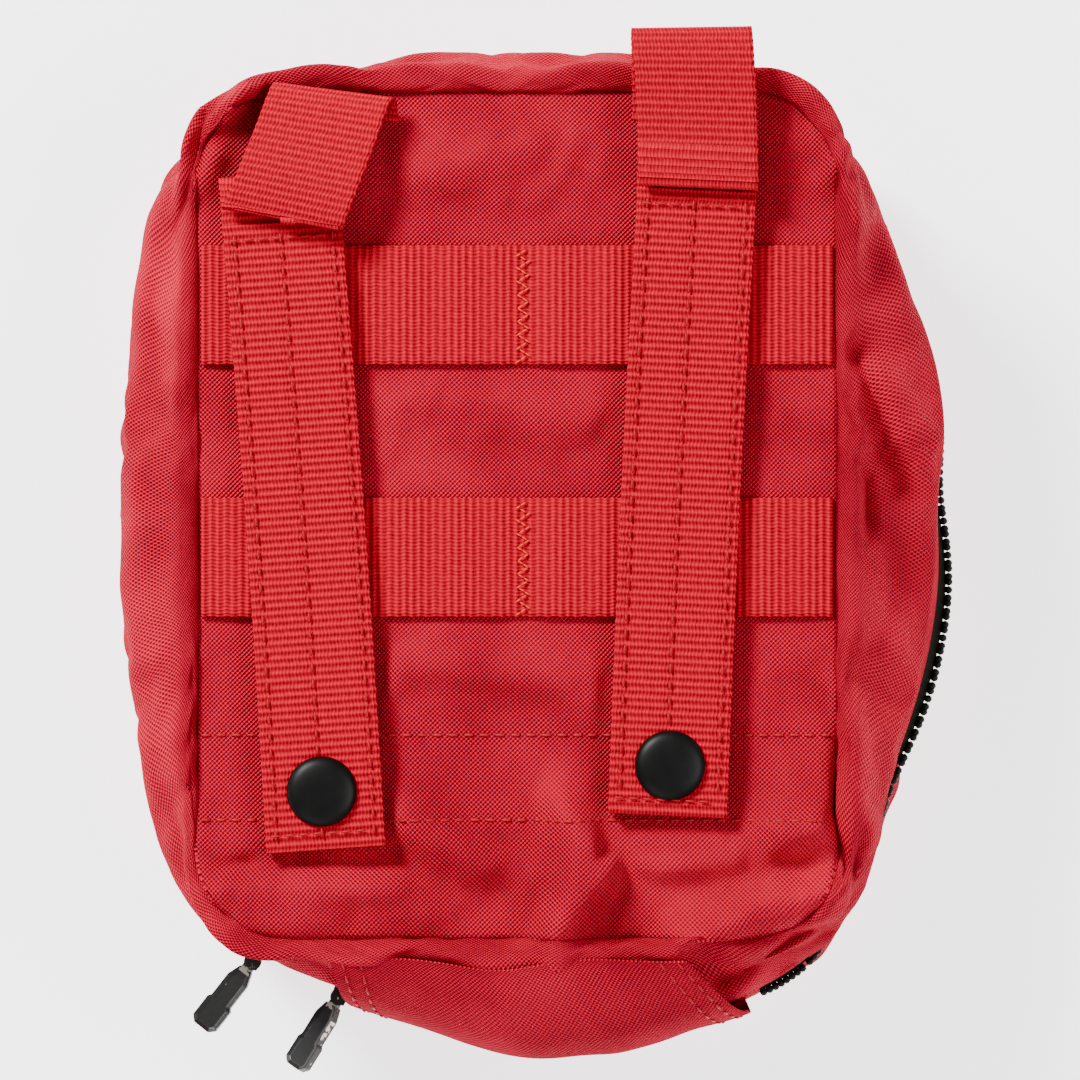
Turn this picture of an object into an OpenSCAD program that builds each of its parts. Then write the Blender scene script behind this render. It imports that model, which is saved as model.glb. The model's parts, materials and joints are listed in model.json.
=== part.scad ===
// First aid kit: a two-shell pouch of woven nylon, lying on its front.
// +Z points out of the back panel, +Y to the top of the pouch, +X across it.
// The origin is the middle of the badge patch, which the pouch rests on.

/* [Pouch outline] */
// Width of the pouch at the zip
zip_w = 167; // [135:1:205]
// Distance from the origin up to the zip at the top
zip_top = 96.5; // [84:0.5:118]
// Distance from the origin down to the zip at the bottom
zip_bottom = 105; // [95:0.5:128]
// Radius of the zip line at the corners
corner_r = 39.5; // [34:0.5:46]
// How far each side bows out between its corners
side_bow = 6; // [3:0.5:10]
// How far the top bows up between its corners
top_bow = 2.8; // [1.5:0.1:6]
// How far the bottom bows down between its corners
bottom_bow = 9.3; // [6:0.1:12]
// How far both shells swell past the zip
swell = 3.5; // [2:0.1:5]

/* [Shell depths] */
// Height of the zip line above the ground
front_depth = 37; // [33:0.5:46]
// Height of the back panel above the zip line
back_depth = 25; // [22:0.5:30]
// Thickness of the woven nylon
cloth_t = 1.2; // [0.8:0.1:1.4]
// Height of the rolled seam above the back panel
rim_h = 2.5; // [1:0.1:2.6]
// Thickness of the foam sheets
foam_t = 3; // [2:0.1:4]
// Thickness of the lining
lining_t = 0.5; // [0.3:0.1:0.8]

/* [Back panel] */
// Inset of the back panel's sides from the zip line
lean_x = 15.5; // [12:0.5:20]
// Inset of the back panel's top from the zip line
lean_top = 6.5; // [5:0.5:10]
// Inset of the back panel's bottom from the zip line
lean_bottom = 15; // [12:0.5:20]
// Corner radius of the back panel
panel_r = 20; // [14:1:26]

/* [Webbing rows] */
// Width of every webbing
webbing_w = 25.4; // [20:0.1:30]
// Thickness of every webbing
webbing_t = 1.3; // [1:0.1:1.5]
// Distance from the panel's top edge to the middle of the upper row
row_drop = 45.5; // [35:0.5:55]
// Distance between the rows, middle to middle
row_pitch = 53.5; // [40:0.5:64]
// Free height of the channel behind each row
row_lift = 0.7; // [0.3:0.1:1]

/* [Straps] */
// Clearance between a strap and what it lies over
strap_gap = 0.3; // [0.3:0.05:0.8]
// Thickness of the stiffener inside each strap
stiffener_t = 0.8; // [0.5:0.1:1.2]
// Distance from the panel's right edge to the right strap's fold
right_fold_inset = 28.8; // [22:0.2:34]
// Slant of the right strap
right_slant = -2.7; // [-4:0.1:0]
// Distance from the right strap's fold to its doubled part
right_single = 23.1; // [16:0.1:26]
// Distance from the right strap's fold to its end
right_reach = 155.8; // [152:0.1:160]
// Distance from the right strap's fold to its snap
right_snap = 145.1; // [138:0.1:146]
// Distance from the panel's left edge to the left strap's fold
left_fold_inset = 16.4; // [15:0.2:24]
// Slant of the left strap
left_slant = 4; // [0:0.1:5]
// Distance from the left strap's fold to its doubled part
left_single = 28; // [18:0.1:30]
// Distance from the left strap's fold to its end
left_reach = 161; // [156:0.1:164]
// Distance from the left strap's fold to its snap
left_snap = 148.8; // [142:0.1:150]

/* [Snaps] */
// Diameter of the snap caps
cap_d = 15; // [13:0.1:17]
// Height of the snap caps
cap_h = 2.3; // [1.8:0.1:3]
// Diameter of the studs
stud_d = 6.4; // [5:0.1:7]
// Diameter of the rivet posts
post_d = 3.8; // [3:0.1:4.2]
// Clearance round each stud and post
snap_clear = 0.2; // [0.15:0.01:0.4]

/* [Zip] */
// Radial thickness of the coil
coil_t = 1.8; // [1.4:0.1:2.2]
// Width of one coil along the height
coil_w = 1.6; // [1.2:0.1:2]
// Width of one zip tape
tape_w = 8.5; // [7.5:0.1:9.5]
// Thickness of the zip tape
tape_t = 0.6; // [0.4:0.1:0.8]
// Clearance between the sliders and the coils
slider_clear = 0.6; // [0.5:0.05:0.9]
// Length of each slider
slider_l = 11; // [9:0.5:12]
// Place of the left slider, as a compass angle on the corner arc
left_slider_at = 244.5; // [236:0.5:246]
// Distance of the right slider from the middle plane
right_slider_x = 37; // [36:0.5:40]
// Length of the pulls from their pin
pull_l = 18; // [15:0.5:19]
// Width of the pull's grip
pull_w = 6.2; // [5:0.1:7]
// Direction in which the left pull points
left_pull_at = 232; // [215:1:240]
// Direction in which the right pull points
right_pull_at = 238; // [228:1:250]
// Roll of the right pull about its own length
right_pull_roll = 38; // [0:1:45]

/* [Hinge panel] */
// Left end of the hinge panel
hinge_left = -30.4; // [-31:0.1:-24]
// Right end of the hinge panel
hinge_right = 48; // [36:0.5:52]
// Height of the hinge panel on each shell
hinge_h = 16; // [10:0.5:20]

/* [Contents] */
// Diameter of the gauze rolls
gauze_d = 24; // [18:0.5:26]
// Length of the gauze rolls
gauze_l = 75; // [60:1:84]
// Width of the dressing packs
pack_w = 96; // [80:1:104]
// Height of the dressing packs
pack_h = 68; // [56:1:72]
// Thickness of one dressing pack
pack_t = 5; // [3:0.1:6]
// Diameter of the antiseptic vials
vial_d = 13.4; // [11:0.1:14]
// Length of the antiseptic vials
vial_l = 58; // [45:1:64]
// Diameter of the tape roll
tape_roll_d = 46; // [36:1:50]
// Width of the tape roll
tape_roll_w = 12.5; // [10:0.1:13]
// Length of the tweezers
tweezers_l = 85; // [70:1:90]

/* [Hidden] */
$fn = 64;

// Heights
badge_t = 1;
zip_z = front_depth;
panel_top_z = zip_z + back_depth;
panel_z = panel_top_z - cloth_t;
front_panel_z = badge_t;
front_floor_z = front_panel_z + cloth_t;
front_lining_z = front_floor_z + foam_t;
front_inside_z = front_lining_z + lining_t;
coil_gap = 0.5;
gusset_start = 6;
tape_start = 0.8;
reinforcement_t = 0.9;
foam_top_z = panel_z - reinforcement_t - 0.1;
back_foam_t = foam_t + 0.8;
lining_z = foam_top_z - back_foam_t - lining_t;
row_top_z = panel_top_z + row_lift + webbing_t;
strap_z = row_top_z + strap_gap;
stiffener_z = strap_z + webbing_t;
face_z = stiffener_z + stiffener_t;
strap_top_z = face_z + webbing_t;
fold_z = panel_top_z + rim_h + 2;

// Outline: eight arcs that meet without a kink, mirrored about the middle plane
bow_r = function(half, bow) (half * half + bow * bow) / (2 * bow) + corner_r;
corner_x = zip_w / 2 - corner_r - side_bow;
top_y = zip_top - corner_r - top_bow;
bottom_y = -(zip_bottom - corner_r - bottom_bow);
middle_y = (top_y + bottom_y) / 2;
side_r = bow_r((top_y - bottom_y) / 2, side_bow);
top_r = bow_r(corner_x, top_bow);
bottom_r = bow_r(corner_x, bottom_bow);
side_x = zip_w / 2 - side_r;
top_c = zip_top - top_r;
bottom_c = bottom_r - zip_bottom;
side_a = atan2((top_y - bottom_y) / 2, corner_x - side_x);
top_a = atan2(top_y - top_c, corner_x);
bottom_a = atan2(bottom_c - bottom_y, corner_x);
arc_step = 6;

function arc(c, r, from, to) =
    let (n = ceil(abs(to - from) / arc_step))
    [for (i = [0:n - 1]) c + r * [cos(from + (to - from) * i / n), sin(from + (to - from) * i / n)]];

// Points of the zip line moved outwards by d
function zip_line(d) = concat(
    arc([0, bottom_c], bottom_r + d, 180 + bottom_a, 360 - bottom_a),
    arc([corner_x, bottom_y], corner_r + d, 360 - bottom_a, 360 - side_a),
    arc([side_x, middle_y], side_r + d, -side_a, side_a),
    arc([corner_x, top_y], corner_r + d, side_a, top_a),
    arc([0, top_c], top_r + d, top_a, 180 - top_a),
    arc([-corner_x, top_y], corner_r + d, 180 - top_a, 180 - side_a),
    arc([-side_x, middle_y], side_r + d, 180 - side_a, 180 + side_a),
    arc([-corner_x, bottom_y], corner_r + d, 180 + side_a, 180 + bottom_a));

// Points of the back panel's edge moved outwards by d
panel_w = zip_w - 2 * lean_x;
panel_top = zip_top - lean_top;
panel_bottom = -(zip_bottom - lean_bottom);
function panel_line(d) = concat(
    arc([panel_w / 2 - panel_r, panel_bottom + panel_r], panel_r + d, -90, 0),
    arc([panel_w / 2 - panel_r, panel_top - panel_r], panel_r + d, 0, 90),
    arc([panel_r - panel_w / 2, panel_top - panel_r], panel_r + d, 90, 180),
    arc([panel_r - panel_w / 2, panel_bottom + panel_r], panel_r + d, 180, 270),
    [[panel_r - panel_w / 2, panel_bottom - d]]);

// Lid axis: the outermost line of the hinge panel, at the height of the zip
hinge_t = cloth_t;
hinge_out = swell + hinge_t + 0.1;
lid_axis_y = -(zip_bottom + hinge_out + 0.2);
hinge_split = 0.25;

// Straps and snaps, laid out from each strap's fold
right_fold = [panel_w / 2 - right_fold_inset, panel_top + 2];
left_fold = [left_fold_inset - panel_w / 2, panel_top];
function along(fold, slant, s) = fold + s * [sin(slant), -cos(slant)];
snap_spots = [along(left_fold, left_slant, left_snap), along(right_fold, right_slant, right_snap)];
reinforcement_y = (snap_spots[0][1] + snap_spots[1][1]) / 2;
row_y = [panel_top - row_drop, panel_top - row_drop - row_pitch];

// Sliders
left_slider_span = slider_l / corner_r * 90 / PI;
right_slider_span = slider_l / bottom_r * 90 / PI;
right_slider_at = 270 - asin(right_slider_x / bottom_r);
slider_plate_t = 1.2;
knuckle_r = 1.9;
pin_out = coil_t / 2 + slider_clear + slider_plate_t + knuckle_r + 0.3;
pin_r = 0.8;
pin_clear = 0.15;

module slab(z, points) {
    translate([0, 0, z]) linear_extrude(0.01) polygon(points);
}

module plate(z, h, points) {
    translate([0, 0, z]) linear_extrude(h) polygon(points);
}

module ring(z, h, outer, inner) {
    translate([0, 0, z]) linear_extrude(h) difference() {
        polygon(outer);
        polygon(inner);
    }
}

// The gap that the hinge panel takes out of the zip at the bottom, less a tuck at each end
module hinge_gap(tuck) {
    translate([hinge_left + tuck, -2 * zip_bottom, 0])
        cube([hinge_right - hinge_left - 2 * tuck, 1.4 * zip_bottom, 2 * zip_z + back_depth]);
}

// ---- Front shell ----

module badge_patch() {
    color("#1d1d1d") translate([-50, -30, 0]) linear_extrude(badge_t) square([100, 60]);
}

front_inset = 7;
module front_panel() {
    color("#b81c2e") plate(front_panel_z, cloth_t, zip_line(-front_inset));
}

foam_inset = front_inset + 4;
module front_foam() {
    color("#dddddd") plate(front_floor_z, foam_t, zip_line(-foam_inset));
}

module front_lining() {
    color("#8f1523") plate(front_lining_z, lining_t, zip_line(-foam_inset));
}

front_swell_z = 0.55;
module front_body(inset, extra) {
    hull() {
        slab(front_floor_z - extra, zip_line(-front_inset - inset));
        slab(front_floor_z + 5, zip_line(-inset));
    }
    hull() {
        slab(front_floor_z + 5, zip_line(-inset));
        slab(zip_z * front_swell_z, zip_line(swell - inset));
    }
    hull() {
        slab(zip_z * front_swell_z, zip_line(swell - inset));
        slab(zip_z - gusset_start - 0.01 + extra, zip_line(0.3 - inset));
    }
}

module front_gusset() {
    color("#c01f31") difference() {
        front_body(0, 0);
        front_body(cloth_t, 0.1);
    }
}

module front_binding() {
    color("#1b1b1b") ring(front_floor_z, 4.2, zip_line(-front_inset - 1.6), zip_line(-foam_inset + 0.3));
}

module front_zip_tape() {
    color("#15170f") difference() {
        ring(zip_z - tape_start - tape_w, tape_w, zip_line(-coil_t / 2), zip_line(-coil_t / 2 - tape_t));
        hinge_gap(5);
    }
}

module front_zip_coil() {
    color("#22241c") difference() {
        ring(zip_z - coil_gap - coil_w, coil_w, zip_line(coil_t / 2), zip_line(-coil_t / 2));
        hinge_gap(0);
    }
}

// A patch of the bottom wall between the hinge panel's ends, from z up by h
module hinge_patch(z, h) {
    intersection() {
        ring(z, h, zip_line(hinge_out), zip_line(hinge_out - hinge_t));
        hinge_gap(0);
    }
}

module front_hinge_panel() {
    color("#c01f31") hinge_patch(zip_z - hinge_split - hinge_h, hinge_h);
}

stop_w = 1.4;
module zip_end_stops() {
    color("#3a3a3a") for (x = [hinge_left + 0.2, hinge_right - 0.2 - stop_w])
        intersection() {
            ring(zip_z - coil_gap - coil_w, coil_w, zip_line(coil_t / 2), zip_line(-coil_t / 2));
            translate([x, -2 * zip_bottom, 0]) cube([stop_w, 1.4 * zip_bottom, 2 * zip_z]);
        }
}

pack_count = 3;
pack_y = bottom_y - 22;
pack_gap = 0.6;
pocket_t = 0.8;
pocket_room = 1.2;
pocket_h = pack_count * (pack_t + pack_gap) + pocket_room;
pocket_w = pack_w + 2 * pocket_room;
module mesh_pocket() {
    color("#2a2a2a") difference() {
        translate([-pocket_w / 2 - pocket_t, pack_y - pocket_room - pocket_t, front_inside_z])
            cube([pocket_w + 2 * pocket_t, pack_h + pocket_room + pocket_t, pocket_h + pocket_t]);
        translate([-pocket_w / 2, pack_y - pocket_room, front_inside_z - 1])
            cube([pocket_w, pack_h + pocket_room + 1, pocket_h + 1]);
    }
}

binding_w = 8;
module mesh_pocket_binding() {
    color("#c01f31")
        translate([-pocket_w / 2, pack_y + pack_h - binding_w, front_inside_z + pocket_h + pocket_t])
            cube([pocket_w, binding_w, pocket_t]);
}

module dressing_packs() {
    color("#e8e6df") for (i = [0:pack_count - 1])
        translate([-pack_w / 2, pack_y, front_inside_z + 0.3 + i * (pack_t + pack_gap)])
            cube([pack_w, pack_h - 1, pack_t]);
}

gauze_y = [for (i = [0, 1]) top_y + 16.3 - i * (gauze_d + 0.8)];
module gauze_rolls() {
    color("#f4f1e8") for (y = gauze_y)
        translate([-gauze_l / 2, y, front_inside_z + gauze_d / 2 + 0.2])
            rotate([0, 90, 0]) cylinder(d = gauze_d, h = gauze_l);
}

// ---- Back shell ----

module back_panel() {
    color("#b81c2e") difference() {
        plate(panel_z, cloth_t, panel_line(0));
        for (s = snap_spots) translate([s[0], s[1], panel_z - 1])
            cylinder(d = post_d + 2 * snap_clear, h = cloth_t + 2);
    }
}

module back_foam() {
    color("#dddddd") difference() {
        plate(foam_top_z - back_foam_t, back_foam_t, panel_line(-2.5));
        for (s = snap_spots) translate([s[0], s[1], foam_top_z - 1])
            cylinder(d = 12, h = 2);
    }
}

module back_lining() {
    color("#8f1523") plate(lining_z, lining_t, panel_line(-2.5));
}

back_swell = 13;
rim_w = 3;
module back_body(inset, extra) {
    hull() {
        slab(zip_z + gusset_start - extra, zip_line(0.3 - inset));
        slab(zip_z + back_swell, zip_line(swell - inset));
    }
    hull() {
        slab(zip_z + back_swell, zip_line(swell - inset));
        slab(panel_z - extra, panel_line(rim_w + 1.5 - inset));
    }
}

module back_gusset() {
    color("#c01f31") difference() {
        union() {
            back_body(0, 0);
            hull() {
                slab(panel_z, panel_line(rim_w + 1.5));
                slab(panel_top_z + rim_h - 0.01, panel_line(rim_w - 1));
            }
        }
        back_body(cloth_t, 0.1);
        plate(panel_z - 2, back_depth, panel_line(0));
    }
}

module back_binding() {
    color("#1b1b1b") ring(foam_top_z - back_foam_t, back_foam_t, panel_line(-0.3), panel_line(-2.2));
}

module back_zip_tape() {
    color("#15170f") difference() {
        ring(zip_z + tape_start, tape_w, zip_line(-coil_t / 2), zip_line(-coil_t / 2 - tape_t));
        hinge_gap(5);
    }
}

module back_zip_coil() {
    color("#22241c") difference() {
        ring(zip_z + coil_gap, coil_w, zip_line(coil_t / 2), zip_line(-coil_t / 2));
        hinge_gap(0);
    }
}

module back_hinge_panel() {
    color("#c01f31") hinge_patch(zip_z + hinge_split, hinge_h);
}

land_w = 3;
row_length = panel_w - 0.4;
module webbing_row(y) {
    translate([-row_length / 2, y - webbing_w / 2, panel_top_z + row_lift])
        cube([row_length, webbing_w, webbing_t]);
    for (x = [-row_length / 2, -land_w / 2, row_length / 2 - land_w])
        translate([x, y - webbing_w / 2, panel_top_z]) cube([land_w, webbing_w, row_lift + 0.1]);
}

module upper_webbing() {
    color("#e0303a") webbing_row(row_y[0]);
}

module lower_webbing() {
    color("#e0303a") webbing_row(row_y[1]);
}

module snap_reinforcement() {
    color("#c8242f") difference() {
        translate([-panel_w / 2 + 4, reinforcement_y - webbing_w / 2, panel_z - reinforcement_t])
            cube([panel_w - 8, webbing_w, reinforcement_t]);
        for (s = snap_spots) translate([s[0], s[1], panel_z - 2])
            cylinder(d = post_d + 2 * snap_clear, h = 4);
    }
}

stud_base_t = 0.7;
stud_top_z = strap_z - 0.3;
module snap_studs() {
    color("#2b2b2b") for (s = snap_spots) translate([s[0], s[1], panel_top_z]) {
        cylinder(d = 11.6, h = stud_base_t);
        cylinder(d = stud_d - 1, h = stud_top_z - panel_top_z);
        translate([0, 0, stud_base_t + 0.5]) cylinder(d = stud_d, h = stud_top_z - panel_top_z - stud_base_t - 0.5);
    }
}

rivet_t = 0.7;
module snap_stud_rivets() {
    color("#2b2b2b") for (s = snap_spots) translate([s[0], s[1], 0]) {
        translate([0, 0, panel_z - reinforcement_t - rivet_t]) cylinder(d = 11, h = rivet_t);
        translate([0, 0, panel_z - reinforcement_t]) cylinder(d = post_d, h = cloth_t + reinforcement_t);
    }
}

anchor_h = 12;
module strap_anchor(fold, slant) {
    start = (fold[1] - panel_top + 3) / cos(slant);
    translate([fold[0], fold[1], panel_top_z]) rotate([0, 0, slant])
        translate([-webbing_w / 2, -start - anchor_h, 0]) cube([webbing_w, anchor_h, webbing_t]);
}

// The left anchor's outer edge stays this far from the middle line
left_anchor_edge = 58.3;
module left_strap_anchor() {
    color("#e0303a") strap_anchor([webbing_w / 2 - left_anchor_edge, left_fold[1]], left_slant);
}

module right_strap_anchor() {
    color("#e0303a") strap_anchor(right_fold, right_slant);
}

// ---- What the back shell holds ----

elastic_t = 1;
elastic_w = 25;
vial_clear = 0.2;
vial_x = [-46, -28];
vial_y = middle_y - 12;
vial_z = lining_z - elastic_t - vial_clear - vial_d / 2;
tweezers_x = -9;
tweezers_y = vial_y - 12;
tweezers_w = 9;
tweezers_t = 1;
tweezers_gap = 5;
tweezers_loop_h = 8.4;
tweezers_side_clear = 0.4;
elastic_y = vial_y + 18;
module elastic_loops() {
    color("#2a2a2a") {
        translate([-56, elastic_y, lining_z - elastic_t]) cube([56, elastic_w, elastic_t]);
        for (x = vial_x) translate([x, elastic_y, vial_z]) rotate([-90, 0, 0]) difference() {
            cylinder(r = vial_d / 2 + vial_clear + elastic_t, h = elastic_w);
            translate([0, 0, -1]) cylinder(r = vial_d / 2 + vial_clear, h = elastic_w + 2);
        }
        loop_w = tweezers_w + 2 * tweezers_side_clear;
        translate([tweezers_x - loop_w / 2 - elastic_t, elastic_y, lining_z - tweezers_loop_h - elastic_t])
            difference() {
                cube([loop_w + 2 * elastic_t, elastic_w, tweezers_loop_h + elastic_t]);
                translate([elastic_t, -1, elastic_t])
                    cube([loop_w, elastic_w + 2, tweezers_loop_h - elastic_t]);
            }
    }
}

module antiseptic_vials() {
    color("#d9e4ec") for (x = vial_x) translate([x, vial_y, vial_z]) rotate([-90, 0, 0]) {
        cylinder(d = vial_d, h = vial_l - 8);
        cylinder(d = vial_d * 0.55, h = vial_l - 2);
    }
}

module vial_caps() {
    color("#2f6fb0") for (x = vial_x) translate([x, vial_y + vial_l - 7.8, vial_z]) rotate([-90, 0, 0])
        difference() {
            cylinder(d = vial_d - 1.4, h = 9);
            translate([0, 0, -1]) cylinder(d = vial_d * 0.55 + 0.2, h = 7);
        }
}

roll_x = 33;
roll_y = middle_y + 22;
roll_z = lining_z - 0.3 - tape_roll_w;
core_d = 26;
core_t = 1.5;
module tape_roll() {
    color("#efe9dc") translate([roll_x, roll_y, roll_z]) difference() {
        cylinder(d = tape_roll_d, h = tape_roll_w);
        translate([0, 0, -1]) cylinder(d = core_d, h = tape_roll_w + 2);
    }
}

module tape_roll_core() {
    color("#d8cdb4") translate([roll_x, roll_y, roll_z]) difference() {
        cylinder(d = core_d, h = tape_roll_w);
        translate([0, 0, -1]) cylinder(d = core_d - 2 * core_t, h = tape_roll_w + 2);
    }
}

module tweezers() {
    color("#c9ccd0") translate([tweezers_x, tweezers_y, lining_z - elastic_t - 0.4]) rotate([0, 90, 0])
        translate([0, 0, -tweezers_w / 2]) linear_extrude(tweezers_w) polygon([
            [0, 0], [tweezers_t, 0], [tweezers_t, tweezers_l - 3],
            [tweezers_gap, tweezers_l - 3], [tweezers_gap, 0],
            [tweezers_gap + tweezers_t, 0], [tweezers_gap + tweezers_t, tweezers_l],
            [0, tweezers_l]]);
}

// ---- Straps ----

// One layer of webbing from s0 to s1 below the fold, with a hole for the snap's post
module strap_layer(fold, slant, snap, s0, s1, z, t, w) {
    translate([fold[0], fold[1], z]) rotate([0, 0, slant]) difference() {
        translate([-w / 2, -s1, 0]) cube([w, s1 - s0, t]);
        translate([0, -snap, -1]) cylinder(d = post_d + 2 * snap_clear, h = t + 2);
    }
}

fold_free = 2;
// The outer layer reaches on to the fold as a single ribbon
module strap_face(fold, slant, reach, snap) {
    strap_layer(fold, slant, snap, fold_free, reach, face_z, webbing_t, webbing_w);
}

stiffener_margin = 3;
module strap_stiffener(fold, slant, single, reach, snap) {
    strap_layer(fold, slant, snap, single + stiffener_margin, reach - stiffener_margin,
        stiffener_z, stiffener_t, webbing_w - 2 * stiffener_margin);
}

module strap_backing(fold, slant, single, reach, snap) {
    strap_layer(fold, slant, snap, single, reach, strap_z, webbing_t, webbing_w);
}

// A domed cap with a rounded rim, and the post that clenches in the socket
module snap_cap(spot) {
    dome_r = (cap_d * cap_d / 4 + cap_h * cap_h / 4) / cap_h;
    translate([spot[0], spot[1], strap_top_z]) {
        intersection() {
            cylinder(d = cap_d, h = cap_h);
            translate([0, 0, cap_h - dome_r]) sphere(r = dome_r, $fn = 96);
        }
        translate([0, 0, strap_z - strap_top_z]) cylinder(d = post_d, h = strap_top_z - strap_z + 0.1);
    }
}

socket_d = 12.4;
module snap_socket(spot) {
    translate([spot[0], spot[1], panel_top_z + stud_base_t + 0.2]) difference() {
        cylinder(d = socket_d, h = strap_z - panel_top_z - stud_base_t - 0.2);
        translate([0, 0, -1])
            cylinder(d = stud_d + 2 * snap_clear, h = strap_z - panel_top_z - stud_base_t - 0.2 + 1 - 0.15);
    }
}

module left_strap_face() {
    color("#e0303a") strap_face(left_fold, left_slant, left_reach, left_snap);
}

module left_strap_stiffener() {
    color("#e8e8e4") strap_stiffener(left_fold, left_slant, left_single, left_reach, left_snap);
}

module left_strap_backing() {
    color("#e0303a") strap_backing(left_fold, left_slant, left_single, left_reach, left_snap);
}

module left_snap_cap() {
    color("#151515") snap_cap(snap_spots[0]);
}

module left_snap_socket() {
    color("#3a3a3a") snap_socket(snap_spots[0]);
}

module right_strap_face() {
    color("#e0303a") strap_face(right_fold, right_slant, right_reach, right_snap);
}

module right_strap_stiffener() {
    color("#e8e8e4") strap_stiffener(right_fold, right_slant, right_single, right_reach, right_snap);
}

module right_strap_backing() {
    color("#e0303a") strap_backing(right_fold, right_slant, right_single, right_reach, right_snap);
}

module right_snap_cap() {
    color("#151515") snap_cap(snap_spots[1]);
}

module right_snap_socket() {
    color("#3a3a3a") snap_socket(snap_spots[1]);
}

// ---- Sliders and pulls ----

plate_low = 4.3;
plate_high = 3.2;
neck_t = 0.6;
lip_t = 1;
lug_t = 1.05;
lug_root = 0.4;
knuckle_h = 3.6;

// Slider bent round the centre c at radius r: two plates, a neck between the coils and a lip
module slider(c, r, at, span) {
    out_r = r + coil_t / 2 + slider_clear;
    in_r = r - coil_t / 2 - tape_t - slider_clear;
    translate([c[0], c[1], zip_z]) {
        rotate([0, 0, at - span]) rotate_extrude(angle = 2 * span, $fn = 180) {
            translate([out_r, -plate_low]) square([slider_plate_t, plate_low + plate_high]);
            translate([in_r - slider_plate_t, -plate_low]) square([slider_plate_t, 2 * plate_low]);
            translate([in_r - 0.5, -neck_t / 2]) square([out_r - in_r + 1, neck_t]);
            translate([r - coil_t / 2 + slider_clear, -plate_low])
                square([out_r - r + coil_t / 2 - slider_clear + 0.5, lip_t]);
        }
        rotate([0, 0, at]) {
            for (z = [-knuckle_h / 2 - 0.15 - lug_t, knuckle_h / 2 + 0.15])
                translate([out_r + slider_plate_t - lug_root, -1.6, z])
                    cube([lug_root + knuckle_r + 0.3 + pin_r + 0.6, 3.2, lug_t]);
            translate([r + pin_out, 0, -knuckle_h / 2 - 0.5]) cylinder(r = pin_r, h = knuckle_h + 1);
        }
    }
}

grip_start = 11;
recess_d = 0.5;
// Cast pull: a knuckle on the slider's pin, a neck and a wider grip with a recess in both faces
module pull(c, r, at, toward, roll) {
    translate([c[0], c[1], zip_z]) rotate([0, 0, at]) translate([r + pin_out, 0, 0])
        rotate([0, 0, toward - at]) {
            difference() {
                translate([0, 0, -knuckle_h / 2]) cylinder(r = knuckle_r, h = knuckle_h);
                translate([0, 0, -knuckle_h]) cylinder(r = pin_r + pin_clear, h = 2 * knuckle_h);
            }
            translate([1.3, -1.5, -1.1]) cube([2, 3, 2.2]);
            rotate([roll, 0, 0]) difference() {
                translate([0, 0, -1.1]) linear_extrude(2.2) polygon([
                    [2.8, -1.6], [5.2, -2.55], [grip_start, -2.55], [grip_start + 0.7, -pull_w / 2],
                    [pull_l - 1.2, -pull_w / 2], [pull_l, 1.2 - pull_w / 2], [pull_l, pull_w / 2 - 1.2],
                    [pull_l - 1.2, pull_w / 2], [grip_start + 0.7, pull_w / 2], [grip_start, 2.55],
                    [5.2, 2.55], [2.8, 1.6]]);
                for (z = [-1.1 - recess_d, 1.1 - recess_d])
                    translate([5.5, -1.3, z]) cube([pull_l - 8, 2.6, 2 * recess_d]);
            }
        }
}

module left_slider() {
    color("#20211f") slider([-corner_x, bottom_y], corner_r, left_slider_at, left_slider_span);
}

module left_pull() {
    color("#20211f") pull([-corner_x, bottom_y], corner_r, left_slider_at, left_pull_at, 8);
}

module right_slider() {
    color("#20211f") slider([0, bottom_c], bottom_r, right_slider_at, right_slider_span);
}

module right_pull() {
    color("#20211f") pull([0, bottom_c], bottom_r, right_slider_at, right_pull_at, right_pull_roll);
}

badge_patch();
front_panel();
front_foam();
front_lining();
front_gusset();
front_binding();
front_zip_tape();
front_zip_coil();
front_hinge_panel();
zip_end_stops();
mesh_pocket();
mesh_pocket_binding();
dressing_packs();
gauze_rolls();
back_panel();
back_foam();
back_lining();
back_gusset();
back_binding();
back_zip_tape();
back_zip_coil();
back_hinge_panel();
upper_webbing();
lower_webbing();
snap_reinforcement();
snap_studs();
snap_stud_rivets();
left_strap_anchor();
right_strap_anchor();
elastic_loops();
antiseptic_vials();
vial_caps();
tape_roll();
tape_roll_core();
tweezers();
left_strap_face();
left_strap_stiffener();
left_strap_backing();
left_snap_cap();
left_snap_socket();
right_strap_face();
right_strap_stiffener();
right_strap_backing();
right_snap_cap();
right_snap_socket();
left_slider();
left_pull();
right_slider();
right_pull();
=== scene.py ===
# %% [markdown]
# # First aid pouch
# A clamshell pouch of red woven nylon, lying on its front with its straps towards us.
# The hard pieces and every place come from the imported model. This script sews the soft
# goods round them: cloth, webbing, thread and zip.

# %% Load the frame
import json
import math
import bmesh
import bpy
from mathutils import Matrix, Vector, noise
from mathutils.bvhtree import BVHTree


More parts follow.
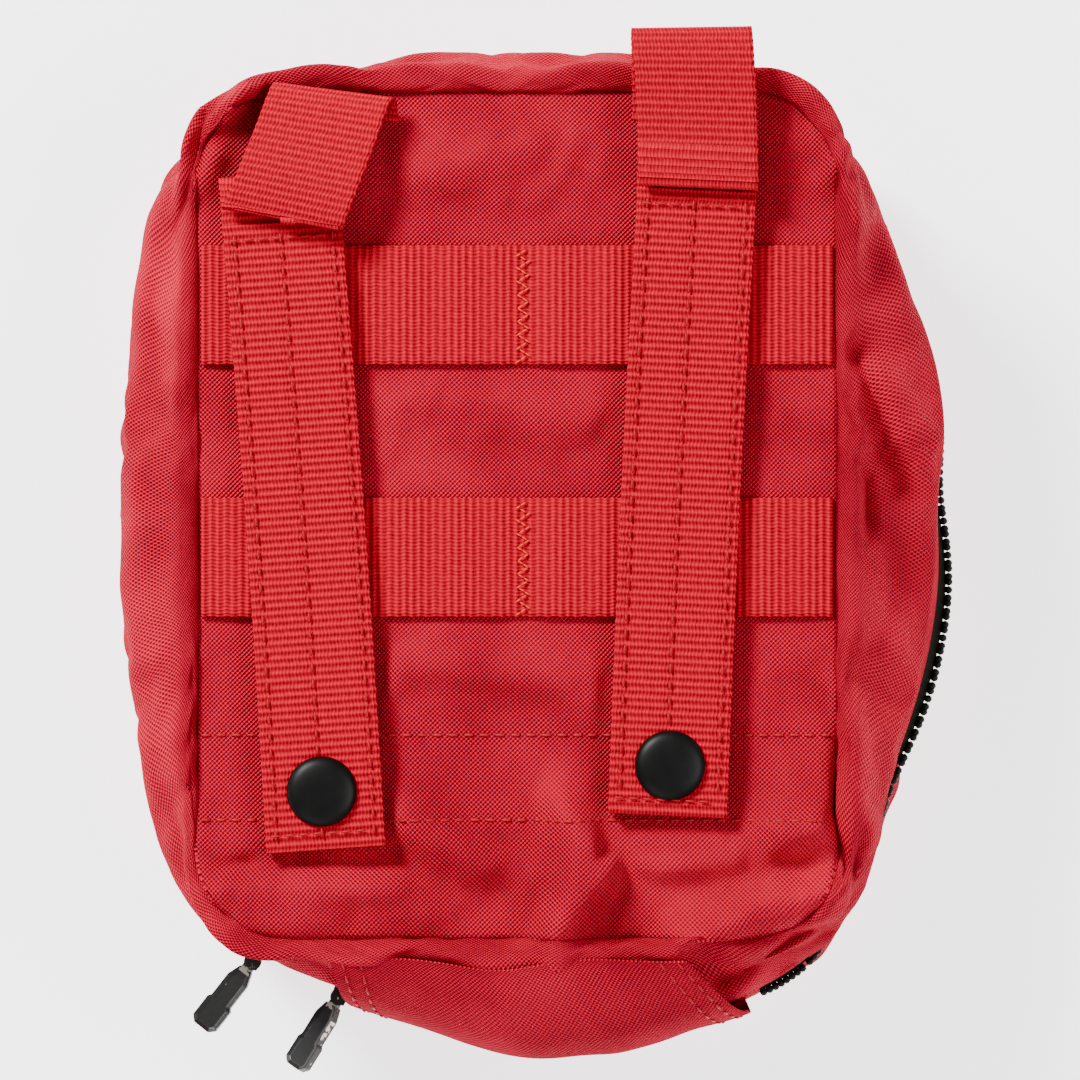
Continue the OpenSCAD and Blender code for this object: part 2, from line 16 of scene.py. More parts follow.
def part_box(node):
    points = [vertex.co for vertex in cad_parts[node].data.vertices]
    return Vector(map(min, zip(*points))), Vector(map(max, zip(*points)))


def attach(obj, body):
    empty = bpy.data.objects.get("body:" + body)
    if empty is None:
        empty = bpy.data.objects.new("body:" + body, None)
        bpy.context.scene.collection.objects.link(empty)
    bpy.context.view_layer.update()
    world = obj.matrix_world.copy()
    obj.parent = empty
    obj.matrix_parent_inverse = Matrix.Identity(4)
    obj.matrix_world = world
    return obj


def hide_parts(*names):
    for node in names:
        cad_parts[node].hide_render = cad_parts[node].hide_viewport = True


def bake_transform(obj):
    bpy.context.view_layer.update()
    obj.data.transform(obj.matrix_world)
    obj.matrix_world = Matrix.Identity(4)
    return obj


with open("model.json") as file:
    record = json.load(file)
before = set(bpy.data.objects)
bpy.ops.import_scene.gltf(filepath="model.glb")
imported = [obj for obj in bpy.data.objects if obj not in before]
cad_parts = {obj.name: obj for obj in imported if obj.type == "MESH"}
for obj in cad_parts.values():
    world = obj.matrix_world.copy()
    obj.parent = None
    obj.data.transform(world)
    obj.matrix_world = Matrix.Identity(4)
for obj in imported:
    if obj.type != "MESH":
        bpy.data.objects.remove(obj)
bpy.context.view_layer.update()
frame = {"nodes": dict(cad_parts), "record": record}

MM = 0.001
NODES = frame["nodes"]
JOINTS = {joint["name"]: joint for joint in frame["record"]["behaviour"]["joints"]}
print("CAD nodes:", len(NODES))

# %% [markdown]
# ## The camera and the light
# The pouch is seen from straight above by a long lens, so it keeps its outline. A pale
# floor, one wide soft light above and two fills leave only gentle shade in the folds.

# %% Camera, floor and light
VIEW_WIDTH = 228.8 * MM
CAMERA_HEIGHT = 1.4
SENSOR = 36.0
AIM = Vector((4.9 * MM, -5.3 * MM, 0.064))

camera_data = bpy.data.cameras.new("camera")
camera_data.sensor_width = SENSOR
camera_data.lens = SENSOR * CAMERA_HEIGHT / VIEW_WIDTH
camera = bpy.data.objects.new("camera", camera_data)
camera.location = AIM + Vector((0, 0, CAMERA_HEIGHT))
bpy.context.scene.collection.objects.link(camera)
bpy.context.scene.camera = camera


def area_light(name, place, size, power, target=AIM):
    data = bpy.data.lights.new(name, "AREA")
    data.shape = "SQUARE"
    data.size = size
    data.energy = power
    light = bpy.data.objects.new(name, data)
    light.location = place
    light.rotation_euler = (target - Vector(place)).to_track_quat("-Z", "Y").to_euler()
    bpy.context.scene.collection.objects.link(light)


area_light("key", (-0.8, 0.85, 1.05), 0.4, 52)
area_light("fill", (0.9, -0.2, 1.1), 0.9, 13)
area_light("front_fill", (-0.3, -1.0, 0.8), 0.9, 5)
print("lens %.0f mm, %.0f mm across the view" % (camera_data.lens, VIEW_WIDTH / MM))

world = bpy.data.worlds.new("studio")
world.use_nodes = True
world.node_tree.nodes["Background"].inputs[0].default_value = (1, 1, 1, 1)
world.node_tree.nodes["Background"].inputs[1].default_value = 0.34
bpy.context.scene.world = world

# %% [markdown]
# ## Materials
# Each finish is a Principled shader. Patterns run on a UV map in metres, so a thread
# spacing in millimetres is true on curved cloth, or on Object coordinates for hard parts.

# %% Helpers for materials


def linear(hex_colour):
    parts = [int(hex_colour[i:i + 2], 16) / 255 for i in (1, 3, 5)]
    return [c / 12.92 if c <= 0.04045 else ((c + 0.055) / 1.055) ** 2.4 for c in parts] + [1]


def add(tree, kind, settings=None, **links):
    """One node with its settings and links; a link's name is the input, its value a socket."""
    node = tree.nodes.new(kind)
    for key, value in (settings or {}).items():
        if isinstance(key, int):
            node.inputs[key].default_value = value
        elif key in node.inputs:
            node.inputs[key].default_value = value
        else:
            setattr(node, key, value)
    for key, socket in links.items():
        place = int(key[1:]) if key[1:].isdigit() else key.replace("_", " ")
        tree.links.new(socket, node.inputs[place])
    return node


def new_material(name, hex_colour, roughness, metallic=0.0, ior=1.5, gloss=0.5):
    material = bpy.data.materials.new(name)
    material.use_nodes = True
    material.diffuse_color = linear(hex_colour)
    shader = material.node_tree.nodes["Principled BSDF"]
    shader.inputs["Base Color"].default_value = linear(hex_colour)
    shader.inputs["Roughness"].default_value = roughness
    shader.inputs["Metallic"].default_value = metallic
    shader.inputs["IOR"].default_value = ior
    shader.inputs["Specular IOR Level"].default_value = gloss
    return material, material.node_tree, shader


def wave_of(tree, coordinate, axis, pitch, shift=None):
    """A sine along one axis of the coordinates, one turn per pitch."""
    split = add(tree, "ShaderNodeSeparateXYZ", None, _0=coordinate)
    turns = add(tree, "ShaderNodeMath", {"operation": "MULTIPLY", 1: 2 * math.pi / pitch},
                _0=split.outputs[axis])
    last = turns
    if shift is not None:
        last = add(tree, "ShaderNodeMath", {"operation": "ADD"}, _0=turns.outputs[0], _1=shift)
    return add(tree, "ShaderNodeMath", {"operation": "SINE"}, _0=last.outputs[0]).outputs[0]


def times(tree, a, b):
    return add(tree, "ShaderNodeMath", {"operation": "MULTIPLY"}, _0=a, _1=b).outputs[0]


def ramp(tree, value, stops):
    node = add(tree, "ShaderNodeValToRGB", None, _0=value)
    band = node.color_ramp
    while len(band.elements) < len(stops):
        band.elements.new(0.5)
    for element, (place, colour) in zip(band.elements, stops):
        element.position = place
        element.color = linear(colour)
    return node.outputs[0]


def spread(tree, value, low, high):
    """Maps low..high to 0..1."""
    node = add(tree, "ShaderNodeMapRange", {1: low, 2: high}, _0=value)
    return node.outputs[0]


def bump(tree, shader, height, distance, strength=1.0):
    node = add(tree, "ShaderNodeBump", {"Distance": distance, "Strength": strength}, Height=height)
    tree.links.new(node.outputs[0], shader.inputs["Normal"])


# %% [markdown]
# ## Woven nylon
# Coated oxford cloth: plain weave of fat filament yarns, so it shows rows of small glossy
# knuckles. Two crossed sines make the checkered over-and-under, in the bump and in the colour:
# painted shade in the gaps and painted highlight on the knuckles; slow noise fades the dye.

# %% Cloth materials
THREAD_PITCH = 0.98 * MM
RIB_PITCH = 1.58 * MM
DOT_PITCH = 0.76 * MM


def woven(name, low, mid, high, pitch, relief, roughness=0.72):
    material, tree, shader = new_material(name, mid, roughness, gloss=0.02)
    uv = add(tree, "ShaderNodeUVMap", {"uv_map": "weave"}).outputs[0]
    drift = add(tree, "ShaderNodeTexNoise", {"Scale": 260.0, "Detail": 3.0}, Vector=uv).outputs[0]
    wander = spread(tree, drift, 0.0, 0.7)
    warp = wave_of(tree, uv, 0, pitch, wander)
    weft = wave_of(tree, uv, 1, pitch, wander)
    knuckles = times(tree, warp, weft)
    fade = add(tree, "ShaderNodeTexNoise", {"Scale": 34.0, "Detail": 4.0}, Vector=uv).outputs[0]
    # The colour mixes painted shade in the gaps and painted highlight on the knuckles with a slow
    # random dye tone
    shade_and_dye_tone = add(tree, "ShaderNodeMath", {"operation": "MULTIPLY_ADD", 1: 0.5}, _0=knuckles, _2=fade)
    colour = ramp(tree, spread(tree, shade_and_dye_tone.outputs[0], 0.0, 1.0),
                  [(0.0, low), (0.5, mid), (1.0, high)])
    tree.links.new(colour, shader.inputs["Base Color"])
    bump(tree, shader, knuckles, relief)
    return material


def ribbed(name, low, mid, high, dot=DOT_PITCH, rib=RIB_PITCH, relief=0.12 * MM):
    material, tree, shader = new_material(name, mid, 0.68, gloss=0.02)
    uv = add(tree, "ShaderNodeUVMap", {"uv_map": "weave"}).outputs[0]
    ribs = wave_of(tree, uv, 0, rib)
    rows = wave_of(tree, uv, 0, 2 * rib)
    dots = wave_of(tree, uv, 1, dot, rows)
    fade = add(tree, "ShaderNodeTexNoise", {"Scale": 900.0, "Detail": 2.0}, Vector=uv).outputs[0]
    relief_sum = add(tree, "ShaderNodeMath", {"operation": "MULTIPLY_ADD", 1: 0.6},
                     _0=dots, _2=ribs)
    # The colour mixes painted shade in the grooves and painted highlight on the ribs and dots with a
    # random dye tone
    shade_and_dye_tone = add(tree, "ShaderNodeMath", {"operation": "MULTIPLY_ADD", 1: 0.17},
               _0=relief_sum.outputs[0], _2=spread(tree, fade, -0.75, 1.75))
    colour = ramp(tree, spread(tree, shade_and_dye_tone.outputs[0], 0.1, 0.9),
                  [(0.0, low), (0.5, mid), (1.0, high)])
    tree.links.new(colour, shader.inputs["Base Color"])
    bump(tree, shader, relief_sum.outputs[0], relief)
    return material


# The pouch: a deep red, with painted shade in the gaps between the knuckles of the yarns and painted
# highlight on the knuckles
NYLON = woven("woven_nylon_oxford", "#680518", "#ba0f2b", "#e02040", THREAD_PITCH, 0.3 * MM)
# Thin lining: finer and darker, nearly flat
LINING = woven("nylon_taffeta_lining", "#4a0a10", "#6e1019", "#8a1a24", 0.6 * MM, 0.05 * MM)
# Webbing, elastic and binding: ribs across, each a row of small dots, with painted shade in the
# grooves and painted highlight on the ribs
WEBBING = ribbed("polyester_webbing", "#62020e", "#ad0420", "#d8142f")
ELASTIC = ribbed("knitted_elastic", "#141414", "#222222", "#333333", 1.0 * MM, 1.2 * MM)
BINDING = ribbed("black_binding_tape", "#101010", "#1c1c1c", "#2b2b2b", 0.8 * MM, 0.9 * MM)
# Zip tape: black, its fine weave drawn a little coarser than real so that it shows
ZIP_TAPE = woven("zip_tape_polyester", "#0b0c08", "#15170f", "#24261d", 0.7 * MM, 0.06 * MM)
# Bonded thread is smooth, in the cloth's own red darkened as painted shade in the stitch grooves; the
# coil is drawn nylon with a dull shine
THREAD_IN_PAINTED_SHADE, _, _ = new_material("red_bonded_thread", "#9c0a18", 0.5, gloss=0.2)
TACK_THREAD, _, _ = new_material("orange_red_bonded_thread", "#e0301c", 0.5, gloss=0.2)
COIL, _, _ = new_material("nylon_zip_coil", "#0d0e0b", 0.6, gloss=0.2)
print("thread pitch %.2f mm, rib pitch %.2f mm" % (THREAD_PITCH / MM, RIB_PITCH / MM))

# %% [markdown]
# ## Painted metal and moulded plastic
# Caps are stamped brass under a black satin enamel. Pulls and sliders are cast zinc with
# black paint that chips on its edges, where the pale metal shows.

# %% Hard materials


def speckled(name, low, high, scale, roughness, metallic=0.0, relief=0.02 * MM, gloss=0.5):
    material, tree, shader = new_material(name, high, roughness, metallic, gloss=gloss)
    place = add(tree, "ShaderNodeTexCoord").outputs["Object"]
    grain = add(tree, "ShaderNodeTexNoise", {"Scale": scale, "Detail": 5.0}, Vector=place).outputs[0]
    tree.links.new(ramp(tree, grain, [(0.3, low), (0.7, high)]), shader.inputs["Base Color"])
    bump(tree, shader, grain, relief)
    return material


def chipped_enamel():
    material, tree, shader = new_material("black_enamel_on_zinc", "#0a0a09", 0.4, gloss=0.35)
    place = add(tree, "ShaderNodeTexCoord").outputs["Object"]
    edge = add(tree, "ShaderNodeNewGeometry").outputs["Pointiness"]
    chips = add(tree, "ShaderNodeTexNoise", {"Scale": 900.0, "Detail": 6.0}, Vector=place).outputs[0]
    worn = add(tree, "ShaderNodeMath", {"operation": "MULTIPLY_ADD", 1: 0.55}, _0=chips, _2=edge)
    mask = spread(tree, worn.outputs[0], 0.87, 0.93)
    colour = ramp(tree, mask, [(0.0, "#0b0b0a"), (0.6, "#4a4742"), (1.0, "#b9b2a6")])
    tree.links.new(colour, shader.inputs["Base Color"])
    tree.links.new(mask, shader.inputs["Metallic"])
    bump(tree, shader, chips, 0.03 * MM)
    return material


# Enamel gives soft highlights, bare cast zinc pale chips on its edges
ENAMEL = speckled("black_satin_enamel", "#040404", "#0a0a09", 300.0, 0.42, gloss=0.15)
CAST = chipped_enamel()
# Foam and sheet plastic: pale, dull and slightly mottled
FOAM = speckled("polyethylene_foam", "#c9c9c4", "#e2e2de", 900.0, 0.9, relief=0.2 * MM)
PLASTIC = speckled("polypropylene_sheet", "#dcdcd6", "#ecece8", 500.0, 0.5)
CAP_PLASTIC = speckled("moulded_blue_cap", "#1f5793", "#2f6fb0", 400.0, 0.3)
VIAL = speckled("frosted_polyethylene", "#cfdde6", "#e4edf3", 200.0, 0.35)
# Contents: matt paper, tape and card, and brushed steel that mirrors softly
PAPER = speckled("sterile_wrap_paper", "#dedbd2", "#efede6", 420.0, 0.75, relief=0.06 * MM)
TAPE = speckled("zinc_oxide_tape", "#e0d6c2", "#f1eadb", 700.0, 0.7, relief=0.06 * MM)
CARD = speckled("grey_card_core", "#b5a888", "#cfc3a4", 500.0, 0.85)
STEEL = speckled("brushed_stainless_steel", "#a9acb0", "#cdd0d4", 800.0, 0.3, metallic=1.0)
# The net is opaque only along its threads, NET_PITCH / 2 apart
NET_PITCH = 3.4 * MM
NET = ribbed("black_polyester_net", "#101010", "#1c1c1c", "#2b2b2b", 1.0 * MM, 1.2 * MM)
net_tree = NET.node_tree
net_uv = net_tree.nodes["UV Map"].outputs[0]
holes = times(net_tree, wave_of(net_tree, net_uv, 0, NET_PITCH),
              wave_of(net_tree, net_uv, 1, NET_PITCH))
solid = add(net_tree, "ShaderNodeMath", {"operation": "LESS_THAN", 1: 0.3},
            _0=add(net_tree, "ShaderNodeMath", {"operation": "ABSOLUTE"}, _0=holes).outputs[0])
net_tree.links.new(solid.outputs[0], net_tree.nodes["Principled BSDF"].inputs["Alpha"])
# Gauze is an open weave of soft white yarn; loop pile is a dark, rough mat
GAUZE = woven("cotton_gauze", "#cfcabc", "#ece8dd", "#f8f6f0", 1.1 * MM, 0.2 * MM, 0.85)
PILE = speckled("loop_pile", "#0c0c0c", "#242424", 1800.0, 0.95, relief=0.4 * MM)
FLOOR, _, floor_shader = new_material("pale_light_table", "#ffffff", 0.9)
floor_shader.inputs["Emission Color"].default_value = (1, 1, 1, 1)
floor_shader.inputs["Emission Strength"].default_value = 2.2

floor_mesh = bpy.data.meshes.new("floor")
bm = bmesh.new()
bmesh.ops.create_grid(bm, x_segments=1, y_segments=1, size=3.0)
bm.to_mesh(floor_mesh)
bm.free()
floor_mesh.materials.append(FLOOR)
floor = bpy.data.objects.new("floor", floor_mesh)
bpy.context.scene.collection.objects.link(floor)
print("materials:", len(bpy.data.materials))

# %% [markdown]
# ## Finishing a piece
# Every piece is a bmesh until it is right. One function turns it into an object with its
# material, its body and the CAD nodes that it stands for.

# %% Make an object of a bmesh


def finish_piece(name, bm, material, body=None, nodes=(), smooth=True):
    mesh = bpy.data.meshes.new(name)
    bm.normal_update()
    for face in bm.faces:
        face.smooth = smooth
    bm.to_mesh(mesh)
    bm.free()
    mesh.materials.append(material)
    piece = bpy.data.objects.new(name, mesh)
    bpy.context.scene.collection.objects.link(piece)
    if body:
        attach(piece, body)
    if nodes:
        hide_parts(*nodes)
    return piece


def strew(bm, places, u_segments=6, v_segments=4):
    """Adds one small ball for each matrix."""
    ball = bmesh.new()
    bmesh.ops.create_uvsphere(ball, u_segments=u_segments, v_segments=v_segments, radius=1)
    pattern = bpy.data.meshes.new("ball")
    ball.to_mesh(pattern)
    ball.free()
    for place in places:
        copy = pattern.copy()
        copy.transform(place)
        bm.from_mesh(copy)
        bpy.data.meshes.remove(copy)
    bpy.data.meshes.remove(pattern)


def lay_weave(bm, flat_place):
    """Writes the weave's UV map; flat_place gives a vertex its place on the flat cloth."""
    uv = bm.loops.layers.uv.new("weave")
    for face in bm.faces:
        for loop in face.loops:
            loop[uv].uv = flat_place(loop.vert)


def lengths_along(line):
    """How far along a line each of its points lies."""
    run = [0.0]
    for a, b in zip(line, line[1:]):
        run.append(run[-1] + (b - a).length)
    return run


def step_at(run, s):
    """The step of a line that holds length s: the number of its end, and the share along it."""
    i = next((k for k in range(1, len(run)) if run[k] >= s - 1e-9), len(run) - 1)
    return i, (s - run[i - 1]) / max(run[i] - run[i - 1], 1e-9)


def middle(node):
    low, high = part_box(node)
    return (Vector(low) + Vector(high)) / 2


# %% [markdown]
# ## The outline
# The zip runs round eight arcs that meet without a kink, and the back panel is a rounded
# rectangle inside it. Both are read as a distance along a ray from the middle, so that
# one grid of cloth can be laid between them.

# %% Outlines of the zip line and the back panel
low, high = (Vector(corner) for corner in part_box("back_zip_tape"))
COIL_OUT = 0.9 * MM  # from the tape's sewn edge to the middle of the coil
ZIP_HALF = high.x + COIL_OUT
ZIP_TOP = high.y + COIL_OUT
CORNER = 39.5 * MM
SIDE_BOW, TOP_BOW, BOTTOM_BOW = 6 * MM, 2.8 * MM, 9.3 * MM
ZIP_BOTTOM = 105 * MM
ZIP_Z = (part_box("front_zip_coil")[1][2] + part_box("back_zip_coil")[0][2]) / 2
CORNER_X = ZIP_HALF - CORNER - SIDE_BOW
TOP_Y = ZIP_TOP - CORNER - TOP_BOW
BOTTOM_Y = -(ZIP_BOTTOM - CORNER - BOTTOM_BOW)


def bow_radius(half, bow):
    return (half * half + bow * bow) / (2 * bow) + CORNER


SIDE_R = bow_radius((TOP_Y - BOTTOM_Y) / 2, SIDE_BOW)
TOP_R = bow_radius(CORNER_X, TOP_BOW)
BOTTOM_R = bow_radius(CORNER_X, BOTTOM_BOW)
MIDDLE_Y = (TOP_Y + BOTTOM_Y) / 2
TOP_C = ZIP_TOP - TOP_R
BOTTOM_C = BOTTOM_R - ZIP_BOTTOM
SIDE_C = ZIP_HALF - SIDE_R
SIDE_A = math.atan2((TOP_Y - BOTTOM_Y) / 2, CORNER_X - SIDE_C)
TOP_A = math.atan2(TOP_Y - TOP_C, CORNER_X)
BOTTOM_A = math.atan2(BOTTOM_C - BOTTOM_Y, CORNER_X)
ARCS = [(0, BOTTOM_C, BOTTOM_R, -math.pi / 2, math.pi / 2 - BOTTOM_A),
        (CORNER_X, BOTTOM_Y, CORNER, -(BOTTOM_A + SIDE_A) / 2, (BOTTOM_A - SIDE_A) / 2),
        (SIDE_C, MIDDLE_Y, SIDE_R, 0, SIDE_A),
        (CORNER_X, TOP_Y, CORNER, (TOP_A + SIDE_A) / 2, (TOP_A - SIDE_A) / 2),
        (0, TOP_C, TOP_R, math.pi / 2, math.pi / 2 - TOP_A)]


def on_zip_line(direction, out=0.0):
    """The point where a ray from the middle meets the zip line moved outwards."""
    ray = Vector((abs(direction[0]), direction[1])).normalized()
    best = None
    for cx, cy, radius, mid, half in ARCS:
        centre = Vector((cx, cy))
        along = ray.dot(centre)
        rest = (radius + out) ** 2 - (centre.length_squared - along * along)
        if rest < 0:
            continue
        point = ray * (along + math.sqrt(rest))
        turn = math.atan2(point.y - cy, point.x - cx) - mid
        turn = abs((turn + math.pi) % (2 * math.pi) - math.pi)
        if best is None or turn - half < best[0]:
            best = (turn - half, point)
    return Vector((math.copysign(best[1].x, direction[0]), best[1].y))


low, high = (Vector(corner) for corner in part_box("back_panel"))
PANEL_HALF = Vector((high.x, high.y))
PANEL_TOP_Z = high.z
PANEL_R = 20 * MM


def on_panel_line(direction, out=0.0):
    """The point where a ray from the middle meets the rounded edge of the back panel."""
    ray = Vector((abs(direction[0]), abs(direction[1]))).normalized()
    half = PANEL_HALF + Vector((out, out))
    radius = PANEL_R + out
    reach = min(half.x / max(ray.x, 1e-9), half.y / max(ray.y, 1e-9))
    core = half - Vector((radius, radius))
    if (ray * reach).x > core.x and (ray * reach).y > core.y:
        along = ray.dot(core)
        reach = along + math.sqrt(max(0.0, radius * radius - core.length_squared + along * along))
    point = ray * reach
    return Vector((math.copysign(point.x, direction[0]), math.copysign(point.y, direction[1])))


print("zip line half width %.1f mm, panel half %.1f mm" % (ZIP_HALF / MM, PANEL_HALF.x / MM))

# %% [markdown]
# ## How the cloth has slumped
# The cloth swells past the zip by different amounts round the pouch, and handling has left
# folds. Each fold is a line on the plan with a width and a height: up is a ridge, down a
# crease. They are listed one by one, because a real pouch is creased by hands too.

# %% Swells and folds

# Round the pouch: middle in degrees, width in degrees, amount in mm (for SLOPES a share)
SWELLS = [(2, 34, 6.4), (17, 11, 2.8), (57, 7, -3.6), (115, 5, -1.8), (128, 12, 0.6), (147, 9, 2.2),
          (180, 40, 0.2), (-90, 17, 2.2), (-77, 5, 1.6), (-78, 20, 4.2), (-57, 14, 4.4)]
SLOPES = [(-4, 34, 1.0), (-60, 14, 0.7)]
ZIP_LEANS = [(-17, 19, 4.4), (-60, 6, 2.6)]
FRONT_BULGES = [(-60, 8, 2.4), (-30, 12, 1.0)]
# Each fold in mm: x and y of its start, x and y of its end, width, height
FOLDS = [(-58, 91, -68, 70, 3.2, 3.2), (-66, 84, -72, 60, 2.6, -2.4), (70, 78, 66, 71, 1.6, 1.8),
         (66, 82, 72, 62, 2.6, 1.6), (72, 34, 82, 6, 2.4, -2.4), (76, 30, 85, 12, 3.0, 1.4),
         (74, 8, 75, -3, 2.0, -2.2), (63, -40, 71, -76, 3.2, -3.6), (68, -36, 76, -70, 3.5, 1.6),
         (36, -91, 73, -77, 3.2, 3.0), (42, -98, 70, -86, 3.0, -3.0), (10, -63, 17, -74, 4.2, 3.8),
         (17, -74, 8, -88, 4.5, 4.2), (-2, -66, 2, -84, 5.5, -3.4), (22, -70, 24, -86, 4.5, -3.6),
         (-26, -64, 0, -77, 3.6, 2.0), (-30, -70, -4, -86, 4.0, -2.2),
         (-64, -80, -26, -79, 3.4, 1.8), (-62, -74, -30, -73, 3.2, -1.6),
         (-60, -87, -20, -86, 3.0, 1.4), (26, -73, 64, -66, 5.0, 2.2),
         (30, -80, 62, -74, 4.0, -2.4), (-20, 72, 2, 78, 7.0, 1.2), (4, 66, 14, 84, 6.0, -1.2),
         (-34, 66, -10, 64, 6.0, -1.0), (-80, 10, -76, -30, 5.0, 1.0),
         (-78, 50, -74, 20, 5.0, -1.0), (-24, 26, 20, 22, 8.0, 1.0), (-20, 10, 24, 13, 5.0, -0.8),
         (-22, -32, 20, -36, 7.0, 1.2), (-66, -90, -40, -98, 3.0, 1.4)]


def round_the_pouch(hills, direction):
    """Adds up the hills of such a list in one direction."""
    angle = math.degrees(math.atan2(direction[1], direction[0]))
    total = 0.0
    for centre, width, amount in hills:
        off = abs((angle - centre + 180) % 360 - 180) / width
        total += amount * math.exp(-off ** 3)
    return total


def swell_at(direction):
    return round_the_pouch(SWELLS, direction) * MM


def fold_height(x, y):
    """Height in metres that the folds add at a place given in metres."""
    place = Vector((x, y)) / MM
    total = 0.0
    for x0, y0, x1, y1, width, height in FOLDS:
        start, line = Vector((x0, y0)), Vector((x1 - x0, y1 - y0))
        t = (place - start).dot(line) / line.length_squared
        near = start + line * min(1.0, max(0.0, t))
        gap = (place - near).length / width
        if gap < 3:
            total += height * math.exp(-1.2 * gap ** 1.25)
    return total * MM


def ripple(place, scale, height):
    return noise.noise(Vector(place) / (scale * MM)) * height * MM


# %% [markdown]
# ## The cloth of a shell
# A square grid is laid out like a tablecloth: its inner squares become the flat panel, its
# outer squares run over the rolled seam and down the side wall to the zip. The side view of
# the wall is a smooth curve through a few points.

# %% One grid, laid over a shell
PANEL_RINGS = 34
WALL_RINGS = 26
WALL_TURN = 95 * MM
WALL_RUN = 34 * MM
ROW_WIDTH = 25.4 * MM
ROWS = {"upper": middle("upper_webbing").y, "lower": middle("lower_webbing").y}
STRAP_END_Y = -72 * MM
STRAP_MIDDLES = (-45 * MM, 35 * MM)


def pressed(x, y):
    """How free the cloth is to fold: little under a webbing row or a strap."""
    free = 1.0
    for row in ROWS.values():
        free = min(free, max(0.12, (abs(y - row) - ROW_WIDTH / 2) / (6 * MM)))
    if y > STRAP_END_Y:
        for place in STRAP_MIDDLES:
            if abs(x) < PANEL_HALF.x - 2 * MM and y < PANEL_HALF.y - 8 * MM:
                free = min(free, max(0.45, (abs(x - place) - 10 * MM) / (8 * MM)))
    return min(1.0, free)


def smooth_through(points, t):
    """Catmull-Rom curve through the points, t from 0 to 1."""
    spans = len(points) - 1
    i = min(int(t * spans), spans - 1)
    f = t * spans - i
    p0, p1 = points[max(i - 1, 0)], points[i]
    p2, p3 = points[i + 1], points[min(i + 2, spans)]
    return [0.5 * (2 * b + (c - a) * f + (2 * a - 5 * b + 4 * c - d) * f * f
                   + (3 * b - a - 3 * c + d) * f ** 3) for a, b, c, d in zip(p0, p1, p2, p3)]


# Each point of a wall: share of the way from panel edge to zip line, extra outwards, height
EDGE_Z = PANEL_TOP_Z / MM
ROLLED_EDGE = [(0, -0.2, EDGE_Z - 0.7), (0, 0.6, EDGE_Z + 0.9), (0, 2.6, EDGE_Z + 2.4)]
BACK_WALL = ROLLED_EDGE + [(0, 5.0, EDGE_Z + 1.6), (0.55, 1.6, 58), (0.85, 1.4, 53.5),
                           (1, 1.0, 48.5), (1, 0.2, 44.6), (1, -0.6, 42.4)]
SLOPED_WALL = ROLLED_EDGE + [(0, 5.0, EDGE_Z + 0.6), (0.35, 3.2, 58.2), (0.66, 1.8, 53.6),
                             (0.9, 0.6, 49.4), (1, 0.1, 46.6), (1, -0.6, 42.4)]
FRONT_WALL = [(0, 0, 1.6), (0.3, 0, 1.6), (0.6, 0, 1.8), (0.84, 0.4, 4.6), (0.97, 1.4, 11),
              (1, 2.2, 18), (1, 1.8, 24), (1, 0.4, 29.2), (1, -0.6, 31.6)]
HINGE_WALL = [(0.02, 4.6, 64.6), (0.35, 5.4, 62.4), (0.75, 4.9, 57.2), (0.97, 4.4, 49.5),
              (1, 4.3, 42), (1, 4.2, 36), (1, 3.9, 28), (1, 3.2, 18), (0.93, 1.9, 9.5),
              (0.84, 0.9, 5.4)]
# Walls stay on this side of the lid's axis, or they would cut each other when it opens
HINGE_CLEAR_Y = JOINTS["lid"]["pos_m"][1] + 1.8 * MM
LEAN_REACH = 9.1 * MM  # how far above and below the zip line a lean is felt


def wall_point(wall, direction, t, swelling=1.0):
    """A place on a side wall, t from the panel's edge (0) to the zip (1)."""
    share, out, height = smooth_through(wall, t)
    if wall is BACK_WALL:
        lean = min(1.0, round_the_pouch(SLOPES, direction))
        sloped = smooth_through(SLOPED_WALL, t)
        share, out, height = (a + (b - a) * lean for a, b in zip((share, out, height), sloped))
    if wall is not HINGE_WALL:
        near_zip = max(0.0, 1 - abs(height * MM - ZIP_Z) / LEAN_REACH)
        out += round_the_pouch(ZIP_LEANS, direction) * near_zip
    if wall is FRONT_WALL:
        out += round_the_pouch(FRONT_BULGES, direction) * math.sin(math.pi * t)
    inner, outer = on_panel_line(direction), on_zip_line(direction)
    outward = (outer - inner).normalized()
    swell = swelling * swell_at(direction) * max(0.0, share) ** 1.5
    x, y = inner.lerp(outer, share) + outward * (out * MM + swell)
    if wall is not HINGE_WALL:
        y = max(y, HINGE_CLEAR_Y)
    return Vector((x, y, height * MM))


FOAM_CLEAR_Z, STRIP_CLEAR_Z = 60.5 * MM, 61.35 * MM
STRIP_Y = (-68, -43)
ROW_LIMIT_Z, STRAP_LIMIT_Z, OPEN_LIMIT_Z = 61.7 * MM, 63.4 * MM, 70 * MM
STRAP_LINES = ((-44.5, -0.07), (35.5, 0.047))  # x of each strap's middle at y 10, and its lean


def kept_clear(place):
    """Keeps the panel's cloth above the foam and under the webbing."""
    x, y = place.x / MM, place.y / MM
    low = STRIP_CLEAR_Z if STRIP_Y[0] < y < STRIP_Y[1] else FOAM_CLEAR_Z
    high = OPEN_LIMIT_Z
    if y > -73 and any(abs(x - at_10 - (y - 10) * lean) < 14 for at_10, lean in STRAP_LINES):
        high = STRAP_LIMIT_Z
    if any(abs(place.y - row) < ROW_WIDTH / 2 + 1 * MM for row in ROWS.values()):
        high = ROW_LIMIT_Z
    place.z = min(high, max(low, place.z))


SLACK_Y, SLACK_SPREAD, SLACK_Z = -76 * MM, 11 * MM, 2.6 * MM


